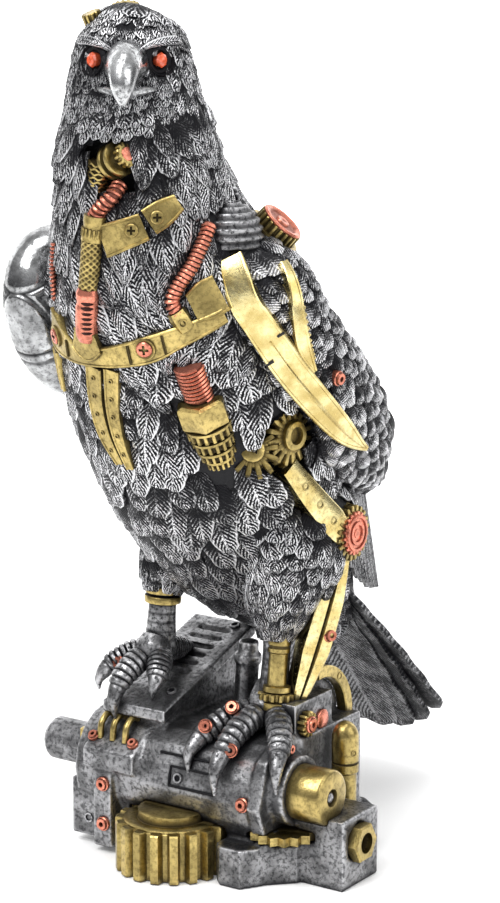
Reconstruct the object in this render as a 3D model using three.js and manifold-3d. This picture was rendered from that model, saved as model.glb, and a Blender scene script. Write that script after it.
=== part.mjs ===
// A steampunk eagle figurine of hand-painted cast resin. The eagle stands on a machine of barrels,
// gears and pipes, and brass and copper fittings are let into its feathers.
// Millimetres, +Z up. The eagle faces -Y, its left side is +X, and the origin is the middle of the
// machine's underside.
import * as THREE from "three";
import { mergeVertices } from "three/addons/utils/BufferGeometryUtils.js";
import Module from "manifold-3d";

const wasm = await Module();
wasm.setup();

// Driving dimensions
const birdHeight = 252; // from the deck that the eagle stands on to its crown
const deckHeight = 48; // the deck above the floor
const clearance = 0.3; // joint line round each fitting

// The eagle's free form is drawn for a height of 252 and follows its height
const grow = birdHeight / 252;

// Colours of the paints
const paint = (hex, roughness, metalness) =>
  new THREE.MeshStandardMaterial({ color: hex, roughness, metalness });
const silver = paint(0x77787c, 0.45, 0.6);
const brass = paint(0xb79f52, 0.38, 0.8);
const paleBrass = paint(0xd8c77c, 0.35, 0.7);
const copper = paint(0xc9604a, 0.4, 0.6);
const blackened = paint(0x2c2c2e, 0.5, 0.6);

const vec = (x, y, z) => new THREE.Vector3(x, y, z);
const mix = (from, to, share) => from + (to - from) * share;
const turn = 2 * Math.PI;
const degrees = Math.PI / 180;

// A closed body through rings of points, each ring with as many points, capped at both ends
function skin(rings) {
  const count = rings[0].length;
  const position = rings.flat().flatMap((p) => p.toArray());
  const index = [];
  for (let r = 0; r + 1 < rings.length; r++)
    for (let i = 0; i < count; i++) {
      const j = (i + 1) % count;
      const [a, b, c, d] = [r * count + i, r * count + j, (r + 1) * count + i, (r + 1) * count + j];
      index.push(a, b, d, a, d, c);
    }
  for (const [r, flip] of [[0, true], [rings.length - 1, false]]) {
    const middle = rings[r].reduce((sum, p) => sum.add(p), vec(0, 0, 0)).divideScalar(count);
    const centre = position.length / 3;
    position.push(...middle.toArray());
    for (let i = 0; i < count; i++) {
      const [a, b] = [r * count + i, r * count + ((i + 1) % count)];
      index.push(centre, flip ? b : a, flip ? a : b);
    }
  }
  const geometry = new THREE.BufferGeometry();
  geometry.setAttribute("position", new THREE.Float32BufferAttribute(position, 3));
  geometry.setIndex(index);
  return geometry;
}

// A geometry as a solid for cutting and joining, its faces turned outwards
function solid(geometry, matrix) {
  const bare = new THREE.BufferGeometry();
  bare.setAttribute("position", geometry.getAttribute("position").clone());
  if (geometry.index) bare.setIndex(geometry.index.clone());
  if (matrix) bare.applyMatrix4(matrix);
  const merged = mergeVertices(bare, 1e-4);
  const triVerts = new Uint32Array(merged.index.array);
  const vertProperties = new Float32Array(merged.attributes.position.array);
  const build = () => new wasm.Manifold(new wasm.Mesh({ numProp: 3, vertProperties, triVerts }));
  const made = build();
  if (made.volume() > 0) return made;
  for (let i = 0; i < triVerts.length; i += 3)
    [triVerts[i + 1], triVerts[i + 2]] = [triVerts[i + 2], triVerts[i + 1]];
  return build();
}

const join = (parts) => parts.reduce((whole, part) => whole.add(part));

// A solid back as a geometry. Corners closer than the weld become one, so no edge is too short to keep
const weld = 0.01;
function shape(made) {
  const mesh = made.getMesh();
  const geometry = new THREE.BufferGeometry();
  geometry.setAttribute("position", new THREE.BufferAttribute(mesh.vertProperties, 3));
  geometry.setIndex(new THREE.BufferAttribute(mesh.triVerts, 1));
  const welded = mergeVertices(geometry, weld);
  const corners = welded.index.array;
  const kept = new Map();
  for (let i = 0; i < corners.length; i += 3) {
    const face = [...corners.slice(i, i + 3)];
    if (new Set(face).size < 3) continue;
    const key = face.toSorted((a, b) => a - b).join();
    if (kept.has(key)) kept.delete(key);
    else kept.set(key, face);
  }
  return welded.setIndex([...kept.values()].flat());
}

// Sections of a free form, given as objects of numbers, read at any share of the way along them
function drawing(sections, keys) {
  const curves = keys.map((key) => {
    const points = sections.map((section, i) => vec(section[key] ?? 0, 0, i));
    return new THREE.CatmullRomCurve3(points, false, "catmullrom", 0.5);
  });
  return (share) => Object.fromEntries(keys.map((key, k) => [key, curves[k].getPoint(share).x]));
}

// The eagle's head, neck and trunk as sections across its spine, from crown to tail root:
// x, y, z is the middle, wide and deep are half sizes, and look turns the section to its left
const trunkSections = [
  { x: 1, y: -49, z: 252, wide: 4, deep: 4.5, look: 31 },
  { x: 1, y: -50, z: 249.5, wide: 12, deep: 13, look: 31 },
  { x: 0.5, y: -51, z: 244, wide: 16.5, deep: 18, look: 31 },
  { x: 0, y: -52, z: 235, wide: 19.5, deep: 21, look: 31 },
  { x: -0.5, y: -51, z: 223, wide: 22, deep: 22.5, look: 29 },
  { x: -1.5, y: -49, z: 211, wide: 25, deep: 24.5, look: 24 },
  { x: -1.5, y: -46, z: 197, wide: 27.5, deep: 27, look: 14 },
  { x: -1, y: -42, z: 182, wide: 32, deep: 30.5, look: 4 },
  { x: 0, y: -35, z: 164, wide: 39, deep: 35, look: 0 },
  { x: 0, y: -26, z: 144, wide: 43, deep: 38, look: 0 },
  { x: 0, y: -14, z: 118, wide: 45, deep: 40, look: 0 },
  { x: 0, y: 2, z: 90, wide: 42, deep: 38, look: 0 },
  { x: 0, y: 20, z: 66, wide: 35, deep: 33, look: 0 },
  { x: 0, y: 40, z: 46, wide: 25, deep: 24, look: 0 },
  { x: 0, y: 60, z: 28, wide: 15, deep: 12, look: 0 },
  { x: 0, y: 70, z: 17, wide: 8, deep: 6, look: 0 },
];

// A surface round a spine of sections: point(share, angle, lift), angle 0 to the front, +X at 90
function spineSurface(sections) {
  const read = drawing(sections, ["x", "y", "z", "wide", "deep", "look"]);
  const spine = new THREE.CatmullRomCurve3(
    sections.map((s) => vec(s.x, s.y, s.z).multiplyScalar(grow)), false, "catmullrom", 0.5);
  spine.arcLengthDivisions = 400;
  const length = spine.getLength();
  const point = (travel, angle, lift = 0) => {
    const share = spine.getUtoTmapping(THREE.MathUtils.clamp(travel / length, 0, 1));
    const { wide, deep, look } = read(share);
    const along = spine.getTangent(share);
    const side = vec(1, 0, 0);
    const front = vec(0, 0, 0).crossVectors(side, along).normalize().negate();
    const [sin, cos] = [Math.sin(angle), Math.cos(angle)];
    const out = vec(sin * deep, cos * wide, 0).normalize();
    const [across, ahead] = [wide * grow * sin + out.x * lift, deep * grow * cos + out.y * lift];
    const [c, s] = [Math.cos(look * degrees), Math.sin(look * degrees)];
    return spine.getPoint(share)
      .addScaledVector(side, across * c + ahead * s)
      .addScaledVector(front, ahead * c - across * s);
  };
  return { point, length };
}

// Feathers as overlapping rows round a surface: each row swells to a scalloped lower edge and
// steps back in under it
function shingles(surface, { start, end, firstRow, lastRow, around, relief, scallop }) {
  const count = 2 * around; // a feather's sides and its tip
  const rings = [];
  const edge = (row, i) => (row < 0 ? 0 : (i + row) % 2);
  const ring = (travel, row, rise) =>
    Array.from({ length: count }, (_, i) => {
      const drop = scallop * edge(row, i) * mix(firstRow, lastRow, travel / end);
      const lift = rise * (0.5 + 0.5 * edge(row, i));
      const limit = surface.length - (rise > 0 ? 2 : 1) * grow;
      return surface.point(row < 0 ? travel : Math.min(travel + drop, limit), (i / count) * turn, lift);
    });
  rings.push(ring(start, -1, 0));
  let travel = start;
  for (let row = 0; travel < end; row++) {
    const long = mix(firstRow, lastRow, travel / end);
    travel += long;
    const rise = relief * mix(firstRow, lastRow, travel / end) / lastRow;
    rings.push(ring(travel, row, rise));
    rings.push(ring(travel + 0.12 * long, row, -0.25 * rise));
  }
  rings.push(ring(surface.length, -1, 0));
  return skin(rings);
}

// Half a wing's thickness is wide, half its chord is deep. Drawn for the left wing
const wingSections = [
  { x: 27, y: -41, z: 179, wide: 3, deep: 4 },
  { x: 32, y: -38, z: 174, wide: 8, deep: 10 },
  { x: 39, y: -32, z: 163, wide: 12, deep: 15 },
  { x: 42, y: -23, z: 147, wide: 12, deep: 16 },
  { x: 43, y: -8, z: 130, wide: 11, deep: 18 },
  { x: 42, y: 11, z: 113, wide: 9, deep: 19 },
  { x: 39, y: 31, z: 99, wide: 7, deep: 16 },
  { x: 34, y: 44, z: 87, wide: 4, deep: 9 },
  { x: 32, y: 49, z: 82, wide: 2, deep: 3 },
];

// The feathered thighs, drawn for the left leg and for the right, which stands higher
const leftThighSections = [
  { x: 24, y: 4, z: 94, wide: 13, deep: 17 },
  { x: 28, y: 4, z: 80, wide: 18, deep: 23 },
  { x: 29, y: 3, z: 64, wide: 17.5, deep: 22 },
  { x: 27, y: 1, z: 50, wide: 14, deep: 16 },
  { x: 24.5, y: 0, z: 39, wide: 9, deep: 10 },
  { x: 23, y: -1, z: 32, wide: 5, deep: 5.5 },
];
const rightThighSections = [
  { x: -18, y: 5, z: 92, wide: 13, deep: 17 },
  { x: -20, y: 5, z: 80, wide: 14.5, deep: 19 },
  { x: -21, y: 4, z: 68, wide: 14, deep: 17 },
  { x: -22, y: 1, z: 57, wide: 11.5, deep: 13 },
  { x: -24, y: -2, z: 48, wide: 8, deep: 9 },
  { x: -25, y: -4, z: 42, wide: 5, deep: 5 },
];

const mirrored = (sections) => sections.map((section) => ({ ...section, x: -section.x }));
const bird = (x, y, z) => vec(x, y, z).multiplyScalar(grow);

// A rounded rod through points, its radius following a list or a single value
function rod(points, radii, sides = 8, steps = 3 * points.length) {
  const curve = new THREE.CatmullRomCurve3(points, false, "catmullrom", 0.5);
  const list = Array.isArray(radii) ? radii : [radii, radii];
  const radius = (share) => {
    const place = share * (list.length - 1);
    const low = Math.min(Math.floor(place), list.length - 2);
    return mix(list[low], list[low + 1], place - low);
  };
  const frames = curve.computeFrenetFrames(steps, false);
  const rings = Array.from({ length: steps + 1 }, (_, k) =>
    Array.from({ length: sides }, (_, i) =>
      curve.getPointAt(k / steps)
        .addScaledVector(frames.normals[k], radius(k / steps) * Math.cos((i / sides) * turn))
        .addScaledVector(frames.binormals[k], radius(k / steps) * Math.sin((i / sides) * turn))));
  return skin(rings);
}

// A long flat feather with a rounded end, lying with its flat side towards face
function quill(root, tip, face, wide, thick) {
  const along = tip.clone().sub(root).normalize();
  const side = vec(0, 0, 0).crossVectors(along, face).normalize();
  const up = vec(0, 0, 0).crossVectors(side, along);
  const outline = [[0, 0.75], [0.8, 1], [1, 0.4]];
  return skin(outline.map(([share, width]) =>
    [[-1, 0], [0, 1], [1, 0], [0, -0.6]].map(([across, rise]) =>
      root.clone().lerp(tip, share)
        .addScaledVector(side, across * width * wide)
        .addScaledVector(up, rise * thick * Math.min(1, width + 0.2)))));
}

const feathers = { relief: 2.2 * grow, scallop: 0.45 };

function trunkSolid() {
  return solid(shingles(spineSurface(trunkSections), {
    start: 0.5, end: 262 * grow, firstRow: 12 * grow, lastRow: 25 * grow, around: 10, ...feathers,
  }));
}

function wingSolid(sections) {
  const surface = spineSurface(sections);
  return solid(shingles(surface, {
    start: 4 * grow, end: surface.length - 6 * grow, firstRow: 17 * grow, lastRow: 21 * grow,
    around: 6, ...feathers,
  }));
}

function thighSolid(sections) {
  const surface = spineSurface(sections);
  return solid(shingles(surface, {
    start: 1, end: surface.length - 4 * grow, firstRow: 16 * grow, lastRow: 13 * grow,
    around: 6, ...feathers,
  }));
}

// The long primaries under each wing's coverts
function primaries(side) {
  return join([0, 1, 2].map((n) => solid(quill(
    bird(side * (34 - 3 * n), 22 + 8 * n, 104 - 3 * n),
    bird(side * (29 - 3 * n), 46 + 9 * n, 46 - 5 * n),
    vec(side, 0, 0), 9 * grow, 3 * grow))));
}

// The tail's fan, its middle feathers the longest and lying on the others
function tail() {
  const feathersInTail = 5;
  return join(Array.from({ length: feathersInTail }, (_, n) => {
    const out = (2 * n) / (feathersInTail - 1) - 1;
    const sag = out * out;
    return solid(quill(
      bird(13 * out, 45 - 2 * sag, 46), bird(27 * out, 111 - 5 * sag, -34 + 13 * sag),
      vec(0.25 * out, 0.8, 0.6), 11 * grow, 3.6 * grow));
  }));
}

// Where the head looks
const look = 31 * degrees;
const headMiddle = { y: -52, z: 234 };
const face = (ahead, left, up) => bird(
  ahead * Math.sin(look) + left * Math.cos(look),
  headMiddle.y - ahead * Math.cos(look) + left * Math.sin(look),
  headMiddle.z + up);

function beak() {
  // ahead, up, half width, half height, and how far the section turns down
  const sections = [
    [12, 0, 8.5, 9, 0], [20, 1, 7.2, 8.2, 8], [26, 0.6, 5.8, 6.8, 22], [30.5, -1.8, 4.6, 5.2, 48],
    [32.6, -6, 3.4, 3.4, 78], [32.2, -10.4, 1.2, 1.2, 90],
  ];
  const sides = 7;
  return solid(skin(sections.map(([ahead, up, wide, high, dip]) =>
    Array.from({ length: sides }, (_, i) => {
      const [cos, sin] = [Math.cos((i / sides) * turn), Math.sin((i / sides) * turn)];
      return face(ahead + sin * high * Math.sin(dip * degrees), cos * wide,
        up + sin * high * Math.cos(dip * degrees));
    }))));
}

function brow(side) {
  return solid(rod(
    [face(23, side * 3.5, 7.5), face(20, side * 9.5, 6.6), face(11.5, side * 16.5, 5.2),
      face(1, side * 18, 2)],
    [2.2 * grow, 3.2 * grow, 3.2 * grow, 0.8 * grow], 5, 5));
}

// Toes as knuckled rods that end in claws
const toeRadii = [3.8, 3.3, 3.5, 3.2, 2, 0.5];
const leftFoot = { ankle: [23.4, -0.4, 39], hub: [22, -2, 7], toes: [
  [[14, -12, 6], [7.5, -22, 1], [5, -29, -5], [5.5, -30.5, -12]],
  [[21, -15, 6], [20, -26, 1], [19.5, -34, -7], [20, -35.5, -16]],
  [[31, -12, 6], [37.5, -21, 1], [41, -28.5, -5], [42, -30, -13]],
  [[22, 9, 6], [22, 16, 4], [22, 20, 0.5]],
] };
const rightFoot = { ankle: [-24.3, -2.7, 51], hub: [-25, -5, 22], toes: [
  [[-32, -11, 21], [-38, -17, 17], [-41, -20, 12], [-41, -20.5, 8]],
  [[-27, -15, 20], [-28.5, -23, 15], [-29, -27.5, 8], [-29, -27, 1]],
  [[-20, -12, 20], [-17.5, -17, 16], [-17, -20, 12], [-17.5, -20.5, 8]],
  [[-25, 6, 20], [-25, 12, 19], [-25, 16, 17]],
] };

// A foot, larger all round by ease when it is used to cut the deck
function foot({ ankle, hub, toes }, ease = 0) {
  const start = bird(...hub);
  const shank = rod([bird(...ankle), start], 4.6 * grow + ease, 7, 1);
  return join([solid(shank), ...toes.map((toe) => solid(rod(
    [start, ...toe.map((p) => bird(...p))], toeRadii.map((r) => r * grow + ease), 4, 5)))]);
}

// The polished shell over the bend of the right wing
function wingShell() {
  const ball = new THREE.SphereGeometry(1, 11, 7);
  ball.scale(16.5 * grow, 25 * grow, 34 * grow);
  ball.rotateX(34 * degrees);
  ball.translate(...bird(-51, -24, 145.5).toArray());
  return solid(ball);
}

// Fittings on the eagle. Radii, widths and thicknesses are sizes of their own; places are on the
// surfaces of the trunk and of the left wing, as travel from the crown or the wing's bend, and angle
const trunk = spineSurface(trunkSections);
const leftWing = spineSurface(wingSections);
const plate = { rise: 3.2, sink: 2.5 };
const screw = { radius: 2.1, rise: 1 };
const copperScrew = { radius: 3, rise: 1.2 };
const eye = { radius: 2.7, rise: 1.8, seat: 3, ahead: 17.5, left: 11, up: 3, socket: 5 };
const crownGear = { root: 2.2, outer: 3, thick: 5, teeth: 9 };
const crownRing = { root: 4, outer: 4.8, thick: 2.6, teeth: 9, bore: 2.4 };
const throat = { travel: 46, angle: -6, wide: 16, high: 20, deep: 8, lean: 12 };
const drumOfRings = { radius: 4, ribs: 3, pitch: 4 };
const discs = { radius: 6, thick: 1.6, apart: 3.4, count: 2, axle: 1.6, wheel: 4 };
const elbow = { radius: 2.8, depth: 0.5, ribs: 5 };
const hose = { radius: 3.5, ferrule: 3.9 };
const capsule = { radius: 4.1 };
const breastCoil = { radius: 2.5, depth: 0.5, ribs: 8, end: 3.4 };
const flankCoil = { radius: 1.3, depth: 0.3, ribs: 6 };
const cogWheel = { root: 10.2, outer: 12, thick: 3.4, teeth: 12 };
const hub = { ring: 9.6, ringThick: 1, root: 7, outer: 8.2, thick: 5.4, teeth: 12, axle: 3 };
const stud = { radius: 2.4, rise: 3.6 };
const plug = { coil: 5.2, coilDepth: 0.5, coilLength: 13, ribs: 4, nutAcross: 15.6, nutLength: 9.4,
  stages: [[8.2, 5], [7.6, 4.6], [6.9, 4], [5.4, 4]] };
const bevel = { root: 6.4, outer: 10, thick: 7, teeth: 13, bore: 2.8, hubRadius: 4.4, hubRise: 2 };
const pinionWheel = { root: 6, outer: 8.6, thick: 8, teeth: 9 };
const thighBar = { thick: 6.4, half: [3.4, 4.2, 4.6, 3] };
const knee = { backRadius: 9.8, backThick: 1.6, root: 7.4, outer: 9, thick: 5, teeth: 14, bore: 2, axle: 4 };
const shinBar = { thick: 8.4, half: [2.4, 3.8, 3.8, 1.8], bolt: 2.6, boltTop: 7.2 };
const legRod = { radius: 3.4, cap: 4, capLength: 7, length: 25 };

// Outward direction of a surface
function normalOf(surface, travel, angle) {
  const down = surface.point(travel + 1, angle).sub(surface.point(travel - 1, angle));
  const round = surface.point(travel, angle + 0.03).sub(surface.point(travel, angle - 0.03));
  return down.cross(round).normalize();
}

// A frame whose +Z is an axis and whose +X is as level as it can be
function towards(x, y, z) {
  const axis = vec(x, y, z).normalize();
  const level = Math.abs(axis.z) > 0.999 ? vec(1, 0, 0) : vec(-axis.y, axis.x, 0).normalize();
  return new THREE.Matrix4().makeBasis(level, vec(0, 0, 0).crossVectors(axis, level), axis);
}

// The frame on a surface whose +Z stands off it
function onSurface(surface, travel, angle, lift = 0) {
  const normal = normalOf(surface, travel * grow, angle * degrees);
  return towards(...normal.toArray())
    .setPosition(surface.point(travel * grow, angle * degrees).addScaledVector(normal, lift));
}

// A body turned about +Z from a profile of [radius, height] points
const turned = (profile, sides = 16) =>
  new THREE.LatheGeometry(profile.map(([r, h]) => new THREE.Vector2(r, h)), sides).rotateX(Math.PI / 2);

// A drum along +Z from one height to another
const drum = (radius, low, high, sides = 12) =>
  turned([[0, low], [radius, low], [radius, high], [0, high]], sides);

// A toothed wheel along +Z. With ease it is the plain drum that clears the wheel
function cog({ root, outer, thick, teeth, bore = 0, low = 0 }, ease = 0, flats = true) {
  if (ease) return drum((outer + ease) / Math.cos(Math.PI / 10), low - ease, low + thick + ease, 10);
  const outline = new THREE.Shape();
  const corners = flats ? [[0, root], [0.2, outer], [0.5, outer], [0.7, root]] : [[0, root], [0.5, outer]];
  for (let t = 0; t < teeth; t++)
    for (const [at, radius] of corners) {
      const angle = ((t + at) / teeth) * turn;
      const [x, y] = [(radius + ease) * Math.cos(angle), (radius + ease) * Math.sin(angle)];
      if (t || at) outline.lineTo(x, y);
      else outline.moveTo(x, y);
    }
  outline.closePath();
  if (bore > ease) {
    const hole = new THREE.Path();
    hole.absarc(0, 0, bore - ease, 0, turn, true);
    outline.holes.push(hole);
  }
  const geometry = new THREE.ExtrudeGeometry(outline, {
    depth: thick + 2 * ease, bevelEnabled: false, curveSegments: 4 });
  return geometry.translate(0, 0, low - ease);
}

// A strap along a surface through [travel, angle, half width], standing proud of it and sunk into it
function strap(surface, path, { rise, sink }, ease, steps = 8) {
  const read = drawing(path.map(([travel, angle, half]) => ({ travel, angle, half })),
    ["travel", "angle", "half"]);
  const place = (share) => {
    const { travel, angle } = read(THREE.MathUtils.clamp(share, 0, 1));
    return [travel * grow, angle * degrees];
  };
  return solid(skin(Array.from({ length: steps + 1 }, (_, k) => {
    const share = k / steps;
    const middle = surface.point(...place(share));
    const along = surface.point(...place(share + 0.02)).sub(surface.point(...place(share - 0.02)))
      .normalize();
    const normal = normalOf(surface, ...place(share));
    const side = vec(0, 0, 0).crossVectors(along, normal).normalize();
    const half = read(share).half * grow + ease;
    const end = k === 0 ? -ease : k === steps ? ease : 0;
    return [[-half, -sink - ease], [half, -sink - ease], [half, rise + ease], [-half, rise + ease]]
      .map(([across, out]) => middle.clone().addScaledVector(side, across)
        .addScaledVector(normal, out).addScaledVector(along, end));
  })));
}

// A rod over a surface through [travel, angle, lift]
const over = (surface, path) => path.map(([travel, angle, lift]) =>
  surface.point(travel * grow, angle * degrees).addScaledVector(
    normalOf(surface, travel * grow, angle * degrees), lift * grow));

// A coil as a rod with a rib for each turn. With ease it is the plain rod that clears it
function coil(points, { radius, depth, ribs }, ease, sides = 6) {
  if (ease) return solid(rod(points, radius + ease, sides, 2 * points.length - 2));
  const radii = Array.from({ length: 2 * ribs + 1 }, (_, i) => radius + ease - (i % 2 ? 0 : depth));
  return solid(rod(points, radii, sides, 2 * ribs));
}

const head = (radius, rise, ease, sides = 6) => drum(radius + ease, -plate.sink, rise + ease, sides);
const gem = (ease) => turned([[0, -eye.seat - ease], [eye.radius + ease, -eye.seat - ease],
  [eye.radius + ease, 0.2], [0.55 * eye.radius + ease, eye.rise + ease], [0, eye.rise + ease]], 7);

function eyePlace(side) {
  const frame = towards(...face(0.72, side * 0.69, 0.02).sub(face(0, 0, 0)).toArray());
  return frame.setPosition(face(eye.ahead, side * eye.left, eye.up));
}

const screwed = (band, surface, spots, { radius, rise }, ease) => join([band, ...spots.map(
  ([travel, angle]) => solid(head(radius, plate.rise + rise, ease), onSurface(surface, travel, angle)))]);

const plugPath = [[26, -58, 139], [26, -37, 99]].map((p) => bird(...p));
const plugAxis = plugPath[1].clone().sub(plugPath[0]).normalize();
const alongPlug = (low) =>
  towards(...plugAxis.toArray()).setPosition(plugPath[0].clone().addScaledVector(plugAxis, low));

const beam = (points, half, thick, face, ease) => solid(skin(points.map((point, i) => {
  const along = points[Math.min(i + 1, points.length - 1)].clone()
    .sub(points[Math.max(i - 1, 0)]).normalize();
  const side = vec(0, 0, 0).crossVectors(along, face).normalize();
  const up = vec(0, 0, 0).crossVectors(side, along).normalize();
  const end = i === 0 ? -ease : i === points.length - 1 ? ease : 0;
  const [h, t] = [half[i] + ease, thick / 2 + ease];
  return [[-h, -t], [h, -t], [h, t], [-h, t]].map(([a, b]) => point.clone()
    .addScaledVector(side, a).addScaledVector(up, b).addScaledVector(along, end));
})));

const cogPlace = towards(0.65, 0.2, 0.73).setPosition(bird(30, -19.6, 175.6));
const bevelPlace = towards(0.985, -0.156, 0).setPosition(bird(34, -18.5, 111));
const pinionPlace = towards(0.5, -0.75, 0.3).setPosition(bird(31, -28, 105));
const kneePlace = towards(1, 0, 0).setPosition(bird(43, 10, 72));
const thighStrut = [[37, -19, 100], [40, -9, 88], [43, 2, 76], [43.5, 11, 67]].map((p) => bird(...p));
const shinStrut = [[40, 11.5, 66], [37.5, 9, 50], [33, 6, 30], [28, 3, 12]].map((p) => bird(...p));
const boltPlace = towards(0.9, -0.1, 0.3).setPosition(bird(34, 7.5, 41));
const rodFoot = [25.5, -5.5, 12];

const eagleFittings = [
  ...[["eye_right", -1], ["eye_left", 1]].map(([name, side]) => ({ name, paint: copper,
    build: (ease) => solid(gem(ease), eyePlace(side)) })),
  { name: "crown_gear", paint: brass, build: (ease) =>
    solid(cog(crownGear, ease, false), towards(-0.2, -0.4, 1).setPosition(bird(-7, -60.5, 246))) },
  { name: "crown_ring", paint: brass, build: (ease) =>
    solid(cog(crownRing, ease, false), towards(0, -0.2, 1).setPosition(bird(-0.5, -52.5, 250))) },
  { name: "neck_gearbox", paint: brass, build: (ease) => {
    const { radius, ribs, pitch } = drumOfRings;
    const profile = Array.from({ length: 2 * ribs + 1 }, (_, i) =>
      [radius + ease - (i % 2 ? 0 : 0.8), (i / 2 - ribs / 2) * pitch]);
    const low = -ribs * pitch / 2 - ease;
    const stack = solid(ease ? drum(radius + ease, low, -low, 9)
      : turned([[0, low], ...profile, [0, -low]], 7),
      towards(0.25, -0.1, 1).setPosition(over(trunk, [[49, -17, -3.2]])[0]));
    const spindle = towards(0.8, -0.2, 0.35).setPosition(over(trunk, [[44, -8, -3.6]])[0]);
    const wheels = Array.from({ length: discs.count }, (_, i) => solid(
      drum(discs.radius + ease, i * discs.apart - ease, i * discs.apart + discs.thick + ease, 7), spindle));
    const reach = discs.apart * discs.count;
    return join([stack, ...wheels,
      solid(drum(discs.axle + ease, -6 - ease, reach + ease, 5), spindle),
      solid(drum(discs.wheel + ease, reach - ease, reach + 2.4 + ease, 7), spindle)]);
  } },
  { name: "throat_coil", paint: copper, build: (ease) =>
    coil(over(trunk, [[50, 4, -2], [53, 2, 1.6], [56.5, -4, 2.4], [59.5, -7.5, 1.4]]), elbow, ease) },
  { name: "braided_hose", paint: brass, build: (ease) => join([
    solid(rod(over(trunk, [[59, -7, 1.6], [66, -5.5, 1.8]]), hose.ferrule + ease, 8, 1)),
    solid(rod(over(trunk, [[65, -6, 1.8], [71, -5.5, 1.8], [78.5, -7, 1.8]]), hose.radius + ease, 8, 3))]) },
  { name: "hose_capsule", paint: copper, build: (ease) =>
    solid(rod(over(trunk, [[78, -7, 2], [86, -8.5, 2], [95, -10.5, 2]]), capsule.radius + ease, 8, 3)) },
  { name: "neck_plate_right", paint: brass, build: (ease) => screwed(
    strap(trunk, [[66, 2, 5.6], [64.5, 14, 5], [63, 26, 4.6]], plate, ease, 4), trunk, [[63.5, 19]],
    screw, ease) },
  { name: "neck_plate_left", paint: brass, build: (ease) => screwed(
    strap(trunk, [[62, 28.5, 4.6], [60, 37, 4.4], [58, 46, 3]], plate, ease, 4), trunk, [[61, 33]],
    screw, ease) },
  { name: "breast_coil", paint: copper, build: (ease) =>
    coil(over(trunk, [[67, 68, 2.2], [70.5, 62, 2.6], [76, 52, 2.6], [80.5, 42, 2.6], [84, 37.5, 2.6],
      [88, 38.5, 2.4]]), breastCoil, ease) },
  { name: "coil_fitting", paint: brass, build: (ease) => solid(rod(
    over(trunk, [[87, 38, 2], [93, 41, 1.4]]), breastCoil.end + ease, 6, 1)) },
  { name: "breast_plate", paint: brass, build: (ease) =>
    strap(trunk, [[87.5, 46, 5], [86.6, 54, 6.6], [86, 62, 6.4]], plate, ease, 4) },
  { name: "chest_band", paint: brass, build: (ease) => screwed(
    strap(trunk, [[97, -44, 8], [98.5, -37, 7.4], [101, -22, 4], [100.5, -8, 3.4], [99, 6, 4],
      [97, 22, 4.6], [94.5, 38, 3.6], [92.5, 60, 2.6]], plate, ease, 9),
    trunk, [[99, -37], [96.5, 20]], copperScrew, ease) },
  { name: "flank_coil", paint: copper, build: (ease) => coil(
    over(trunk, [[70, -44, 1.8], [79, -43, 2], [88, -40, 1.8]]), flankCoil, ease, 5) },
  { name: "flank_strap", paint: brass, build: (ease) => strap(trunk,
    [[107, -46, 2.4], [114, -46, 2.2], [122, -43, 1.6]], { rise: 4, sink: 2.5 }, ease, 3) },
  { name: "belly_strap_outer", paint: brass, build: (ease) => strap(trunk,
    [[104, -8.5, 2.9], [117, -11.5, 2.6], [129, -11.5, 2.4], [139, -7, 1.6]], plate, ease, 6) },
  { name: "belly_strap_inner", paint: brass, build: (ease) => strap(trunk,
    [[104, 0.5, 2.6], [117, -3, 2.3], [129, -4, 2], [140, -2.4, 1.4]], plate, ease, 6) },
  { name: "shoulder_cog", paint: blackened, build: (ease) => join([
    solid(cog({ ...cogWheel, low: -2 }, ease, false), cogPlace),
    solid(drum(hub.axle * 2 + ease, -9 - ease, 0, 8), cogPlace)]) },
  { name: "shoulder_hub", paint: brass, build: (ease) => {
    const low = cogWheel.thick - 2 + 2 * clearance;
    return join([solid(drum(hub.ring + ease, low - ease, low + hub.ringThick + ease, 10), cogPlace),
      solid(cog({ ...hub, low: low + hub.ringThick / 2 }, ease, false), cogPlace),
      solid(drum(hub.axle + ease, low - 4 - ease, low + hub.ringThick / 2, 6), cogPlace)]);
  } },
  { name: "wing_blade", paint: paleBrass, build: (ease) => strap(leftWing,
    [[6, 32, 4.6], [17, 12, 4.8], [27, 19, 4.8], [38, 29, 4.6], [57, 42, 4.4], [78, 54, 3.6], [95, 65, 1]],
    plate, ease, 9) },
  { name: "wing_blade_rear", paint: paleBrass, build: (ease) => strap(leftWing,
    [[14, 96, 1.6], [25, 70, 2.4], [38, 57, 2.4], [47, 56, 1]], { rise: 3.8, sink: 2.5 }, ease, 5) },
  { name: "wing_stud", paint: copper, build: (ease) =>
    solid(head(stud.radius, stud.rise, ease), onSurface(leftWing, 58, 78)) },
  { name: "thigh_coil", paint: copper, build: (ease) => {
    const { coil: radius, coilDepth: depth, ribs, coilLength } = plug;
    return coil([plugPath[0], plugPath[0].clone().addScaledVector(plugAxis, coilLength)],
      { radius, depth, ribs }, ease, 8);
  } },
  { name: "thigh_nut", paint: brass, build: (ease) => solid(
    drum(plug.nutAcross / Math.sqrt(3) + ease, -ease, plug.nutLength + ease, 6),
    alongPlug(plug.coilLength + clearance)) },
  { name: "thigh_bearing", paint: brass, build: (ease) => {
    let low = 0;
    const profile = plug.stages.flatMap(([radius, length], i) => {
      const from = low - (i ? 0 : ease);
      low += length;
      return [[radius + ease, from], [radius + ease, low - 0.8 + ease], [radius + ease - 0.8, low + ease]];
    });
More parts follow.
